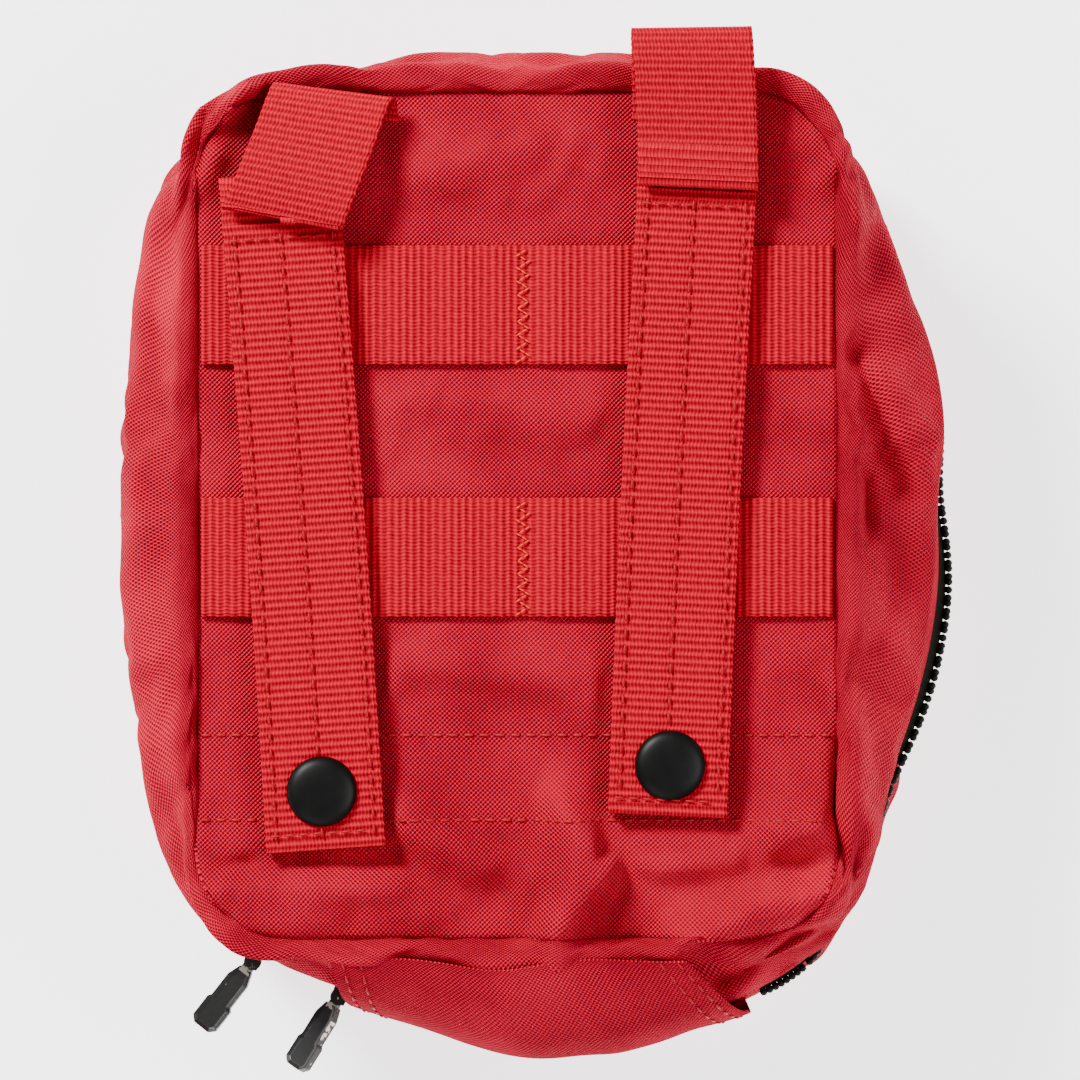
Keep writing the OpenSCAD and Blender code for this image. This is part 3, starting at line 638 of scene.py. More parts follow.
def lay_shell(wall, panel_height, swelling, folds):
    """Cloth grid for one shell, and the ring number of each vertex, counted from the middle."""
    rings = PANEL_RINGS + WALL_RINGS
    bm = bmesh.new()
    bmesh.ops.create_grid(bm, x_segments=2 * rings, y_segments=2 * rings, size=rings)
    uv = bm.loops.layers.uv.new("weave")
    flat = {}
    for vert in bm.verts:
        u, v = round(vert.co.x), round(vert.co.y)
        ring = max(abs(u), abs(v))
        direction = Vector((PANEL_HALF.x * u, PANEL_HALF.y * v)) if ring else Vector((1, 0))
        if ring <= PANEL_RINGS:
            x, y = on_panel_line(direction) * (ring / PANEL_RINGS)
            place = Vector((x, y, panel_height(ring / PANEL_RINGS)))
            flat[vert] = (ring, Vector((x, y)))
        else:
            t = (ring - PANEL_RINGS) / WALL_RINGS
            place = wall_point(wall, direction, t, swelling)
            turn = math.atan2(direction.y, direction.x)
            flat[vert] = (ring, Vector((turn * WALL_TURN, t * WALL_RUN)))
        free = min(1.0, (rings - ring) / 5)  # the last rings are sewn to the zip
        if folds:
            slack = SLACK_Z * math.exp(-((place.y - SLACK_Y) / SLACK_SPREAD) ** 2)
            hold = pressed(place.x, place.y) if ring <= PANEL_RINGS else 1.0
            place.z += fold_height(place.x, place.y) * hold * free * (1.0 if hold < 1 else 2.5)
            place.z += slack if ring <= PANEL_RINGS else 0.0
        # Broad and fine ripples: straight up on the panel, outwards too on the wall
        if ring <= PANEL_RINGS:
            place.z += (ripple(place, 16, 0.8) + ripple(place, 6, 0.3)) * pressed(place.x, place.y)
        else:
            away = Vector((place.x, place.y, 0)).normalized() * 0.7 + Vector((0, 0, 1))
            give = min(1.0, t / 0.15) * min(1.0, (1 - t) / 0.35) ** 2
            place += away * (ripple(place, 15, 2.2) + ripple(place, 7, 0.9)) * give
        if folds and ring < PANEL_RINGS:
            kept_clear(place)
        vert.co = place
    for face in bm.faces:
        for loop in face.loops:
            loop[uv].uv = flat[loop.vert][1]
        # A face that crosses the line where the turn jumps by a full circle is mended
        turns = [loop[uv].uv.x for loop in face.loops]
        if max(turns) - min(turns) > WALL_TURN * 3:
            for loop in face.loops:
                loop[uv].uv.x += 2 * math.pi * WALL_TURN if loop[uv].uv.x < 0 else 0
    return bm, {vert.index: flat[vert][0] for vert in bm.verts}


def rings_between(bm, ring_of, first, last):
    """A copy of the part of a shell between two rings."""
    part = bm.copy()
    part.verts.ensure_lookup_table()
    extra = [face for face in part.faces
             if min(ring_of[v.index] for v in face.verts) < first
             or max(ring_of[v.index] for v in face.verts) > last]
    bmesh.ops.delete(part, geom=extra, context="FACES")
    return part


def thicken(piece, thickness, levels=1, offset=0.0):
    """Smooths a piece by subdivision and gives its cloth a thickness."""
    if levels:
        finer = piece.modifiers.new("finer", "SUBSURF")
        finer.levels = finer.render_levels = levels
    wall = piece.modifiers.new("thickness", "SOLIDIFY")
    wall.thickness = thickness
    wall.offset = offset
    return piece


# %% [markdown]
# ## Letting the cloth settle
# The laid grid is too neat. It is simulated as cloth for a few frames with a little air
# behind it and slightly too much cloth, pinned where it is sewn or clamped, so that it
# finds small puckers of its own. No point may move further than a cap.

# %% Cloth simulation


def settle(bm, pins, pressure=1.5, growth=0.02, frames=14, cap=2.5 * MM):
    """Simulates the bmesh in place. pins gives each vertex index its hold, from 0 to 1."""
    start = [vert.co.copy() for vert in bm.verts]
    mesh = bpy.data.meshes.new("settling")
    bm.to_mesh(mesh)
    cloth = bpy.data.objects.new("settling", mesh)
    bpy.context.scene.collection.objects.link(cloth)
    group = cloth.vertex_groups.new(name="pins")
    for index, hold in pins.items():
        group.add([index], hold, "REPLACE")
    sim = cloth.modifiers.new("cloth", "CLOTH")
    sim.settings.effector_weights.gravity = 0
    sim.settings.vertex_group_mass = "pins"
    sim.settings.use_pressure = True
    sim.settings.uniform_pressure_force = pressure
    sim.settings.shrink_min = -growth
    sim.settings.quality = 4
    sim.settings.tension_stiffness = sim.settings.compression_stiffness = 25
    sim.settings.bending_stiffness = 0.08
    sim.point_cache.frame_end = frames + 1
    for frame_number in range(1, frames + 1):
        bpy.context.scene.frame_set(frame_number)
    settled = cloth.evaluated_get(bpy.context.evaluated_depsgraph_get()).data
    furthest = 0.0
    for vert, there, here in zip(bm.verts, start, settled.vertices):
        step = here.co - there
        furthest = max(furthest, step.length)
        vert.co = there + step * min(1.0, cap / max(step.length, 1e-9))
    print("cloth settled, furthest %.2f mm" % (furthest / MM))
    bpy.context.scene.frame_set(1)
    bpy.data.objects.remove(cloth)


# %% [markdown]
# ## The back shell
# The panel and the wall are cut from the same settled grid, so their seam matches. The
# seam is where the panel's cloth dives under the rolled edge of the wall.

# %% Back panel and back wall


def back_height(share):
    """The back panel dips towards its edge, where the wall's rolled edge covers it."""
    return PANEL_TOP_Z - (0.55 + 2.5 * max(0.0, share - 0.9)) * MM


def pins_of(bm, ring_of):
    """How firmly each vertex is held: fully at the seams, in part under the webbing."""
    pins = {}
    for vert in bm.verts:
        ring = ring_of[vert.index]
        held = 1 - pressed(vert.co.x, vert.co.y)
        if ring in (PANEL_RINGS, PANEL_RINGS + 3) or ring >= PANEL_RINGS + WALL_RINGS - 4:
            held = 1.0
        pins[vert.index] = min(1.0, held * 1.6)
    return pins


back_grid, back_rings = lay_shell(BACK_WALL, back_height, 1.0, folds=True)
settle(back_grid, pins_of(back_grid, back_rings))
for vert in back_grid.verts:
    if back_rings[vert.index] < PANEL_RINGS:
        kept_clear(vert.co)
    vert.co.y = max(vert.co.y, HINGE_CLEAR_Y)
LAST_RING = PANEL_RINGS + WALL_RINGS
back_surface = BVHTree.FromBMesh(back_grid)
panel_cloth = rings_between(back_grid, back_rings, 0, PANEL_RINGS)
wall_cloth = rings_between(back_grid, back_rings, PANEL_RINGS, LAST_RING)
CLOTH = 0.8 * MM
back_panel = thicken(finish_piece("back_panel_cloth", panel_cloth, NYLON, "back_half",
                                  ["back_panel"]), CLOTH)
back_wall = thicken(finish_piece("back_wall_cloth", wall_cloth, NYLON, "back_half",
                                 ["back_gusset"]), CLOTH)
back_grid.free()
print("back shell:", len(back_rings), "grid points")

# %% [markdown]
# ## The front shell
# The front is the same pattern, lower and rounder, and it lies on the ground.

# %% Front panel and front wall


GROUND_CLEAR_Z = 1.45 * MM


def front_ripples(bm):
    """Soft upright creases in the front wall, none where it lies on the ground."""
    for vert in bm.verts:
        lift = min(1.0, max(0.0, (vert.co.z - 2.2 * MM) / (6 * MM)))
        out = Vector((vert.co.x, vert.co.y, 0)).normalized()
        around = math.atan2(vert.co.y, vert.co.x)
        crease = noise.noise(Vector((around * 9, vert.co.z / (22 * MM), 5))) * 2.4 * MM
        vert.co += out * crease * lift
        vert.co.y = max(vert.co.y, HINGE_CLEAR_Y)


front_grid, front_rings = lay_shell(FRONT_WALL, lambda share: FRONT_WALL[0][2] * MM, 0.8,
                                    folds=False)
for vert in front_grid.verts:
    vert.co.z = max(vert.co.z, GROUND_CLEAR_Z)
front_ripples(front_grid)
front_surface = BVHTree.FromBMesh(front_grid)
front_cloth = rings_between(front_grid, front_rings, 0, PANEL_RINGS)
front_wall_cloth = rings_between(front_grid, front_rings, PANEL_RINGS, LAST_RING)
front_grid.free()
front_panel = thicken(finish_piece("front_panel_cloth", front_cloth, NYLON, "front_half",
                                   ["front_panel"]), CLOTH)
front_wall = thicken(finish_piece("front_wall_cloth", front_wall_cloth, NYLON, "front_half",
                                  ["front_gusset"]), CLOTH)
print("front shell:", len(front_rings), "grid points")

# %% [markdown]
# ## Thread
# A sewn line is a row of short thick dashes of thread, each pulled a little into the
# cloth. Each dash is a small stretched ball; a line of them is one piece.

# %% Stitches


def stitch_row(bm, points, pitch=3.5 * MM, dash=2.5 * MM, radius=0.3 * MM, normals=None):
    """Lays dashes of thread along the points."""
    carried, places = 0.0, []
    for i in range(len(points) - 1):
        start, end = points[i], points[i + 1]
        span = (end - start).length
        if span < 1e-7:
            continue
        along = (end - start) / span
        side = (normals[i] if normals else Vector((0, 0, 1))).cross(along).normalized()
        turn = Matrix((along, side, along.cross(side))).transposed().to_4x4()
        size = Matrix.Diagonal((dash / 2, radius, radius * 0.8, 1))
        step = (pitch - carried) % pitch
        while step < span:
            places.append(Matrix.Translation(start + along * step) @ turn @ size)
            step += pitch
        carried = (carried + span) % pitch
    strew(bm, places)


def on_back(x, y, lift=0.55 * MM):
    """A place on the plan, just above the top of the back cloth."""
    hit = back_surface.ray_cast(Vector((x, y, 0.2)), Vector((0, 0, -1)))
    return (hit[0] + Vector((0, 0, lift))) if hit[0] else Vector((x, y, PANEL_TOP_Z + lift))


SNAP_ROW = middle("snap_reinforcement").y
bm = bmesh.new()
for line_y in (SNAP_ROW + 9 * MM, SNAP_ROW - 9 * MM):
    line = [on_back(x * MM, line_y) for x in range(-66, 67, 2)]
    stitch_row(bm, line, pitch=3.3 * MM, radius=0.38 * MM)
finish_piece("panel_stitches", bm, THREAD_IN_PAINTED_SHADE, "back_half")


def seam_line(wall, swelling, inset, surface):
    """A line of sewing on a wall, inset from its zip edge, and its normals."""
    points, outs = [], []
    for angle in range(-64, 246, 2):
        direction = Vector((math.cos(math.radians(angle)), math.sin(math.radians(angle))))
        here, run, t = wall_point(wall, direction, 1.0, swelling), 0.0, 1.0
        while run < inset and t > 0.4:
            t -= 0.02
            there = wall_point(wall, direction, t, swelling)
            run += (there - here).length
            here = there
        near, normal, _, _ = surface.find_nearest(here)
        normal = normal if normal.dot(Vector((here.x, here.y, 0))) > 0 else -normal
        points.append(near + normal * 0.6 * MM)
        outs.append(normal)
    return points, outs


for half, wall, swelling, surface in (("back", BACK_WALL, 1.0, back_surface),
                                      ("front", FRONT_WALL, 0.8, front_surface)):
    bm = bmesh.new()
    for inset in (2.2 * MM, 5.8 * MM):
        points, outs = seam_line(wall, swelling, inset, surface)
        stitch_row(bm, points, pitch=3.9 * MM, dash=2.8 * MM, radius=0.42 * MM, normals=outs)
    print(half, "wall stitches:", len(bm.faces), "faces")
    finish_piece(half + "_zip_seam_stitches", bm, THREAD_IN_PAINTED_SHADE, half + "_half")

# %% [markdown]
# ## Webbing
# Narrow woven tape, ribbed across its width. The ribs stand up enough to notch its edges,
# so they are geometry: a fine grid is laid along a path and lifted by a rounded wave.

# %% A strip of ribbed webbing


def webbing(name, frame_at, length, width, thickness, body, nodes, material=WEBBING,
            rib=RIB_PITCH, height=0.16 * MM, per_rib=5, across=26, dip=None):
    """frame_at(s) gives the middle of the strip, its side and its up at s along it."""
    steps = max(8, int(length / rib * per_rib))
    bm = bmesh.new()
    bmesh.ops.create_grid(bm, x_segments=steps, y_segments=across, size=1)
    flat = {}
    for vert in bm.verts:
        s = (vert.co.x + 1) / 2 * length
        w = vert.co.y * width / 2
        centre, side, up = frame_at(s)
        wave = abs(math.sin(math.pi * s / rib))
        edge = max(0.0, abs(vert.co.y) - 0.93) / 0.07
        notch = 1 - 0.012 * edge * (1 - wave)
        lift = height * wave * (1 - 0.5 * edge) + (dip(s, w) if dip else 0.0)
        vert.co = centre + side * w * notch + up * (lift + thickness / 2)
        flat[vert] = Vector((s, w + width / 2))
    lay_weave(bm, flat.get)
    piece = finish_piece(name, bm, material, body, nodes)
    return thicken(piece, thickness, levels=0, offset=-1.0)


# %% [markdown]
# ## The two webbing rows
# Each row is sewn down at both ends and in the middle, and stands a little free between
# for other webbing to pass behind. A zigzag of thread crosses the middle.

# %% Rows and their bar tacks
ROW_T = 1.3 * MM
ROW_FREE = 0.7 * MM
ROW_PITCH = 1.38 * MM
TACK_X, TACK_HALF, TACK_LENGTH, TACK_TURNS = 1.3 * MM, 1.1 * MM, 24 * MM, 17


def row_frame(row_y):
    """The path of a row: down on the panel where it is sewn, a little free between."""
    length = 2 * PANEL_HALF.x - 2 * MM

    def at(s):
        x = s - length / 2
        gaps = [abs(x - TACK_X), abs(x + length / 2), abs(x - length / 2)]
        free = 1 - math.exp(-(min(gaps) / (4 * MM)) ** 2)
        z = PANEL_TOP_Z + 0.05 * MM + ROW_FREE * free + 0.1 * MM * math.sin(x / (13 * MM))
        return Vector((x, row_y, z)), Vector((0, 1, 0)), Vector((0, 0, 1))
    return at, length


for name, row_y in ROWS.items():
    at, length = row_frame(row_y)
    webbing(name + "_row_webbing", at, length, ROW_WIDTH, ROW_T, "back_half",
            [name + "_webbing"], rib=ROW_PITCH, height=0.13 * MM)
    bm = bmesh.new()
    zigzag = [Vector((TACK_X + (TACK_HALF if i % 2 else -TACK_HALF),
                      row_y + (i / TACK_TURNS - 0.5) * TACK_LENGTH,
                      PANEL_TOP_Z + 0.1 * MM + ROW_T)) for i in range(TACK_TURNS + 1)]
    stitch_row(bm, zigzag, pitch=1.35 * MM, dash=1.5 * MM, radius=0.22 * MM)
    finish_piece(name + "_bar_tack", bm, TACK_THREAD, "back_half")
    print(name, "row %.0f mm long" % (length / MM))

# %% [markdown]
# ## The straps
# A strap is two layers of webbing sewn together round a plastic stiffener by three long
# seams, which pull grooves into it. Each lies along its own line below its fold.

# %% Strap layers and seams
STRAP_W = 25.4 * MM
# Where each strap starts and ends below its fold, and how far it sways to one side
STRAPS = {"left": (28.0 * MM, 161.0 * MM, 0.5 * MM), "right": (23.1 * MM, 155.8 * MM, -0.4 * MM)}
SEAMS = (-10.4 * MM, -0.6 * MM, 10.4 * MM)
END_SEAM = 3.5 * MM


def strap_axes(side):
    """The fold of a strap, the direction across it and the direction down it."""
    joint = JOINTS[side + "_strap_fold"]
    fold = Vector(joint["pos_m"])
    across = -Vector(joint["axis"]).normalized()
    down = across.cross(Vector((0, 0, 1)))
    return fold, across, down


def seam_dip(s, w):
    """The grooves that the long seams pull into the webbing."""
    groove = sum(math.exp(-((w - seam) / (0.7 * MM)) ** 2) for seam in SEAMS)
    return -0.22 * MM * groove


for side, (first, last, sway) in STRAPS.items():
    fold, across, down = strap_axes(side)
    body = side + "_strap"
    face_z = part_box(side + "_strap_face")[0][2]
    back_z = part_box(side + "_strap_backing")[0][2]

    def layer_at(z, curl):
        """The path of one layer that lies at height z and curls up and down a little."""
        def at(s):
            along = first + s
            t = s / (last - first)
            centre = fold + down * along + across * sway * math.sin(t * math.pi)
            centre.z = z + 0.35 * MM * math.sin(t * math.pi * 2.6 + 0.6) * curl
            return centre, across, Vector((0, 0, 1))
        return at

    webbing(side + "_strap_outer", layer_at(face_z, 1.0), last - first, STRAP_W, ROW_T,
            body, [side + "_strap_face"], dip=seam_dip)
    webbing(side + "_strap_inner", layer_at(back_z, 0.2), last - first, STRAP_W, ROW_T,
            body, [side + "_strap_backing"])
    bm = bmesh.new()
    path = layer_at(face_z + ROW_T, 1.0)
    end = last - first - 3.4 * MM
    for seam in SEAMS:
        line = [path(s)[0] + across * seam + Vector((0, 0, 0.02 * MM))
                for s in [END_SEAM + i * (end - END_SEAM) / 60 for i in range(61)]]
        stitch_row(bm, line)
    for s in (END_SEAM, end):
        ends = [path(s)[0] + across * (i - 10) * 1.04 * MM + Vector((0, 0, 0.1 * MM))
                for i in range(21)]
        stitch_row(bm, ends, pitch=3.0 * MM)
    print(side, "strap %.0f mm long" % ((last - first) / MM))
    finish_piece(side + "_strap_stitches", bm, THREAD_IN_PAINTED_SHADE, body)

# %% [markdown]
# ## The slack ribbons
# Above each strap a single layer of webbing runs back to the top seam. It is longer than it
# needs to be, so it stands up in a loop and folds under itself where it meets the strap.

# %% Ribbons above the straps


def ribbon_frame(points, sides):
    """points and sides are given in mm; both are smoothed along the ribbon."""
    parts = 240
    fine = [Vector(smooth_through(points, i / parts)) * MM for i in range(parts + 1)]
    run = lengths_along(fine)

    def at(s):
        i, f = step_at(run, s)
        centre = fine[i - 1].lerp(fine[i], f)
        along = (fine[min(i + 1, parts)] - fine[max(i - 2, 0)]).normalized()
        side = Vector(smooth_through(sides, (i - 1 + f) / parts)).normalized()
        return centre, side, along.cross(side).normalized() * -1
    return at, run[-1]


# Points and sides of each ribbon, then y and z of the place where it starts to bend
RIBBONS = {
    "right": ([(37.2, 84.5, 61.9), (37.2, 89.5, 63.6), (37.0, 95.5, 66.6), (36.8, 101.0, 67.8),
               (36.8, 103.6, 69.8), (37.0, 102.0, 72.2), (37.4, 96.0, 73.2), (37.9, 87.0, 72.2),
               (38.2, 78.0, 71.3), (38.3, 71.6, 71.2), (38.3, 69.4, 70.4), (38.3, 70.6, 69.4),
               (38.2, 76.0, 69.2), (38.2, 77.8, 68.4), (38.2, 75.5, 67.7), (37.9, 66.5, 67.1)],
              [(1, 0.01, 0), (1, 0.02, 0), (1, -0.03, 0), (1, -0.047, 0), (1, -0.047, 0)],
              (88, 63.9)),
    "left": ([(-37.6, 86.0, 61.9), (-38.0, 89.8, 64.8), (-38.8, 90.4, 67.4), (-40.2, 87.0, 69.6),
              (-42.6, 80.0, 71.4), (-46.0, 71.0, 73.0), (-48.6, 64.2, 72.8), (-49.5, 61.6, 71.4),
              (-49.6, 62.8, 69.9), (-50.0, 68.4, 69.3), (-50.2, 70.4, 68.5), (-50.1, 68.0, 67.8),
              (-49.6, 59.5, 67.2)],
             [(1, -0.13, 0.02), (1, -0.14, 0.02), (1, -0.2, 0.0), (1, -0.2, 0), (1, 0.06, 0),
              (1, 0.07, 0)],
             (88, 64.4)),
}
for side, (points, sides, (bend_y, bend_z)) in RIBBONS.items():
    at, length = ribbon_frame(points, sides)
    ribbon = webbing(side + "_strap_ribbon", at, length, STRAP_W, 1.2 * MM, None,
                     [side + "_strap_anchor"], height=0.14 * MM)
    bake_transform(ribbon)
    print(side, "ribbon %.0f mm" % (length / MM))

# %% [markdown]
# ## Snap caps
# A cap is stamped from sheet: nearly flat on top, with a rounded rim that turns under.
# Half of that section is spun once round.

# %% Caps
CAP_SECTION = [(0, 2.25), (2.6, 2.2), (4.8, 2.0), (6.3, 1.65), (7.15, 1.05), (7.5, 0.35),
               (7.4, -0.1), (6.8, -0.3), (0, -0.3)]
for side in STRAPS:
    centre = middle(side + "_snap_cap")
    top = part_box(side + "_snap_cap")[1][2]
    bm = bmesh.new()
    verts = [bm.verts.new((centre.x + r * MM, centre.y, top + (z - 2.3) * MM)) for r, z in CAP_SECTION]
    edges = [bm.edges.new(pair) for pair in zip(verts, verts[1:])]
    bmesh.ops.spin(bm, geom=verts + edges, cent=(centre.x, centre.y, 0), axis=(0, 0, 1),
                   angle=2 * math.pi, steps=64, use_merge=True)
    bmesh.ops.remove_doubles(bm, verts=bm.verts, dist=1e-6)
    bmesh.ops.recalc_face_normals(bm, faces=bm.faces)
    cap = finish_piece(side + "_cap", bm, ENAMEL, side + "_strap",
                       [side + "_snap_cap"])
    rounder = cap.modifiers.new("rounder", "SUBSURF")
    rounder.levels = rounder.render_levels = 1
    print(side, "cap %.1f mm across" % (2 * max(r for r, z in CAP_SECTION)))

# %% [markdown]
# ## The zip
# Each half is a woven tape with a nylon coil sewn along its edge. The coil is shown as one
# small upright bead for each turn. It follows the cloth where that has swollen out.

# %% Zip tapes and coils
COIL_STEP = 1.5 * MM
TAPE_W = 8.3 * MM
ZIP_FIRST, ZIP_LAST = -63, 250  # degrees round the pouch
SLIDER_MIDDLE, SLIDER_HALF, SLIDER_FADE = -126, 27, 10  # the left slider's stretch, in degrees


def zip_path():
    """Points along the coil, and how far each stands out from the sewn edge of its tape.

    Where the left slider runs the coil keeps exactly to the frame's line."""
    fine, leans = [], []
    for i in range(901):
        a = math.radians(ZIP_FIRST + (ZIP_LAST - ZIP_FIRST) * i / 900)
        direction = Vector((math.cos(a), math.sin(a)))
        place = on_zip_line(direction)
        outward = (place - on_panel_line(direction)).normalized()
        leans.append(round_the_pouch(ZIP_LEANS, direction) * MM)
        turn = (math.degrees(a) - SLIDER_MIDDLE + 180) % 360 - 180
        free = min(1.0, max(0.0, abs(turn) - SLIDER_HALF) / SLIDER_FADE)
        fine.append(place + outward * (leans[-1] + swell_at(direction) * free))
    return fine, leans


def zip_half(half, sign, body):
    """One coil and its tape; sign is 1 for the upper half and -1 for the lower."""
    line, leans = zip_path()
    run = lengths_along(line)
    places = []
    step, k = 0.0, 1
    while step < run[-1]:
        while run[k] < step:
            k += 1
        place = line[k]
        along = (line[k] - line[k - 1]).normalized()
        places.append(Matrix.Translation((place.x, place.y, ZIP_Z + sign * 1.1 * MM))
                      @ Matrix.Rotation(math.atan2(along.y, along.x), 4, "Z")
                      @ Matrix.Diagonal((0.85 * MM, 0.85 * MM, 0.95 * MM, 1)))
        step += COIL_STEP
    bm = bmesh.new()
    strew(bm, places, u_segments=8, v_segments=6)
    finish_piece(half + "_coil_turns", bm, COIL, body, [half + "_zip_coil"])

    def at(s):
        i, f = step_at(run, s)
        place = line[i - 1].lerp(line[i], f)
        along = (line[i] - line[i - 1]).normalized()
        out = Vector((along.y, -along.x, 0))
        lean = out * (leans[i] + 0.6 * MM) - Vector((0, 0, sign * TAPE_W))
        side = lean.normalized() * -sign
        edge = Vector((place.x, place.y, ZIP_Z + sign * 0.8 * MM)) - out * COIL_OUT
        return edge + side * sign * TAPE_W / 2, side, out
    tape = webbing(half + "_tape_cloth", at, run[-1], TAPE_W, 0.5 * MM, body,
                   [half + "_zip_tape"], ZIP_TAPE, rib=2.4 * MM, height=0.02 * MM, per_rib=2, across=8)
    print(half, "zip %.0f mm long" % (run[-1] / MM))


zip_half("back", 1, "back_half")
zip_half("front", -1, "front_half")

# %% [markdown]
# ## The hinge panel
# Along the bottom there is no zip: one piece of cloth wraps from shell to shell and is the
# lid's hinge. Its ends are double stitched over the zip's ends.

# %% Hinge panel
HINGE_TOP, HINGE_ZIP = (-38 * MM, 34 * MM), (-34.5 * MM, 49.5 * MM)  # its ends, in x
HINGE_FLAT = (82 * MM, 84 * MM)


def hinge_place(u, t):
    """A place on the hinge cloth: u along the bottom of the pouch, t from the panel down."""
    down = min(1.0, t / 0.4)
    start, end = (a + (b - a) * down for a, b in zip(HINGE_TOP, HINGE_ZIP))
    direction = Vector((start + (end - start) * u, -(90 + 15 * down) * MM))
    place = wall_point(HINGE_WALL, direction, t)
    place.z += fold_height(place.x, place.y) * max(0.0, 0.5 - t) * 1.2
    billow = noise.noise(Vector((u * 3.2, t * 2.0, 9))) * 2.2 * MM * math.sin(math.pi * u)
    place += Vector((0, -1, 0)) * billow
    return place


bm = bmesh.new()
bmesh.ops.create_grid(bm, x_segments=60, y_segments=70, size=1)
flat = {}
for vert in bm.verts:
    u, t = (vert.co.x + 1) / 2, (1 - vert.co.y) / 2
    flat[vert] = Vector((u * HINGE_FLAT[0], t * HINGE_FLAT[1]))
    vert.co = hinge_place(u, t)
lay_weave(bm, flat.get)
hinge = thicken(finish_piece("hinge_panel_cloth", bm, NYLON, None,
                             ["front_hinge_panel", "back_hinge_panel"]), CLOTH)
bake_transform(hinge)
bm = bmesh.new()
for u in (0.035, 0.085, 0.925, 0.975):
    line = [hinge_place(u, i / 40) + Vector((0, -0.45 * MM, 0.4 * MM)) for i in range(1, 40)]
    stitch_row(bm, line, normals=[Vector((0, -1, 0.6)).normalized()] * len(line))
hinge_thread = finish_piece("hinge_panel_stitches", bm, THREAD_IN_PAINTED_SHADE, None)
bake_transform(hinge_thread)
print("hinge panel %.0f mm wide at its middle" % ((HINGE_ZIP[1] - HINGE_ZIP[0]) / MM))

# %% [markdown]
# ## Pulls
# Cast zinc pulls: a ring on the slider's pin, a flat neck and a wider grip with a recess.
# The outline is filled, extruded, inset for the recess, and every edge is bevelled.

# %% Pulls
PULL_OUTLINE = [(2.2, -1.5), (5.2, -2.55), (11, -2.55), (11.7, -3.1), (16.8, -3.1), (18, -1.9),
                (18, 1.9), (16.8, 3.1), (11.7, 3.1), (11, 2.55), (5.2, 2.55), (2.2, 1.5)]
RING_SECTION = [(0.98, -1.7), (0.98, 1.7), (1.2, 1.8), (1.7, 1.8), (1.9, 1.6), (1.9, -1.6),
                (1.7, -1.8), (1.2, -1.8)]
PULL_T = 2.3 * MM
PULLS = {"left": (232, 8), "right": (238, 38)}  # degrees: where each points, and its roll
for side, (toward, roll) in PULLS.items():
    pin = Matrix.Translation(Vector(JOINTS[side + "_pull_swing"]["pos_m"]))
    turn = Matrix.Rotation(math.radians(toward), 4, "Z")
    bm = bmesh.new()
    outline = [bm.verts.new((x * MM, y * MM, -PULL_T / 2)) for x, y in PULL_OUTLINE]
    plate = bm.faces.new(outline)
    lift = bmesh.ops.extrude_face_region(bm, geom=[plate])
    lifted = [item for item in lift["geom"] if isinstance(item, bmesh.types.BMVert)]
    bmesh.ops.translate(bm, vec=(0, 0, PULL_T), verts=lifted)
    bmesh.ops.recalc_face_normals(bm, faces=bm.faces)
    broad = [face for face in bm.faces if abs(face.normal.z) > 0.9]
    bmesh.ops.inset_individual(bm, faces=broad, thickness=0.95 * MM, depth=0)
    for face in broad:
        bmesh.ops.translate(bm, vec=face.normal * -0.45 * MM, verts=list(face.verts))
    bmesh.ops.bevel(bm, geom=list(bm.edges), offset=0.16 * MM, offset_type="OFFSET", segments=2,
                    profile=0.5, affect="EDGES", material=-1, clamp_overlap=True)
    bmesh.ops.rotate(bm, cent=(0, 0, 0), matrix=Matrix.Rotation(math.radians(roll), 3, "X"),
                     verts=bm.verts)
    verts = [bm.verts.new((r * MM, 0, z * MM)) for r, z in RING_SECTION]
    edges = [bm.edges.new((verts[i], verts[(i + 1) % len(verts)])) for i in range(len(verts))]
    bmesh.ops.spin(bm, geom=verts + edges, cent=(0, 0, 0), axis=(0, 0, 1), angle=2 * math.pi,
                   steps=32, use_merge=True)
    bmesh.ops.create_cube(bm, size=1, matrix=Matrix.Translation((2.4 * MM, 0, 0))
                          @ Matrix.Diagonal((1.5 * MM, 2.8 * MM, 2.2 * MM, 1)))
    bmesh.ops.recalc_face_normals(bm, faces=bm.faces)
    bmesh.ops.transform(bm, matrix=pin @ turn, verts=bm.verts)
    print(side, "pull:", len(bm.faces), "faces")
    finish_piece(side + "_pull_casting", bm, CAST, side + "_pull",
                 [side + "_pull"], smooth=False)

# %% [markdown]
# ## Inside the shells
# Linings and bound seams show when the lid is open. A lining is a grid laid inside the
# outline of its shell; a binding is a strip of tape that stands on the seam all the way round.

# %% Linings and bindings


def lining(name, outline, z, body, node, rings=22):
    """A flat cloth that fills an outline at one height."""
    bm = bmesh.new()
    bmesh.ops.create_grid(bm, x_segments=2 * rings, y_segments=2 * rings, size=rings)
    for vert in bm.verts:
        u, v = vert.co.x, vert.co.y
        ring = max(abs(u), abs(v))
        direction = Vector((PANEL_HALF.x * u, PANEL_HALF.y * v)) if ring > 0.5 else Vector((1, 0))
        x, y = outline(direction) * (ring / rings)
        vert.co = (x, y, z + ripple((x, y, z), 22, 0.25))
    lay_weave(bm, lambda vert: vert.co.xy)
    piece = thicken(finish_piece(name, bm, LINING, body, [node]), 0.3 * MM)


lining("back_lining_cloth", lambda d: on_panel_line(d, -2.6 * MM), middle("back_lining").z,
       "back_half", "back_lining")
lining("front_lining_cloth", lambda d: on_zip_line(d, -11.2 * MM), middle("front_lining").z,
       "front_half", "front_lining")


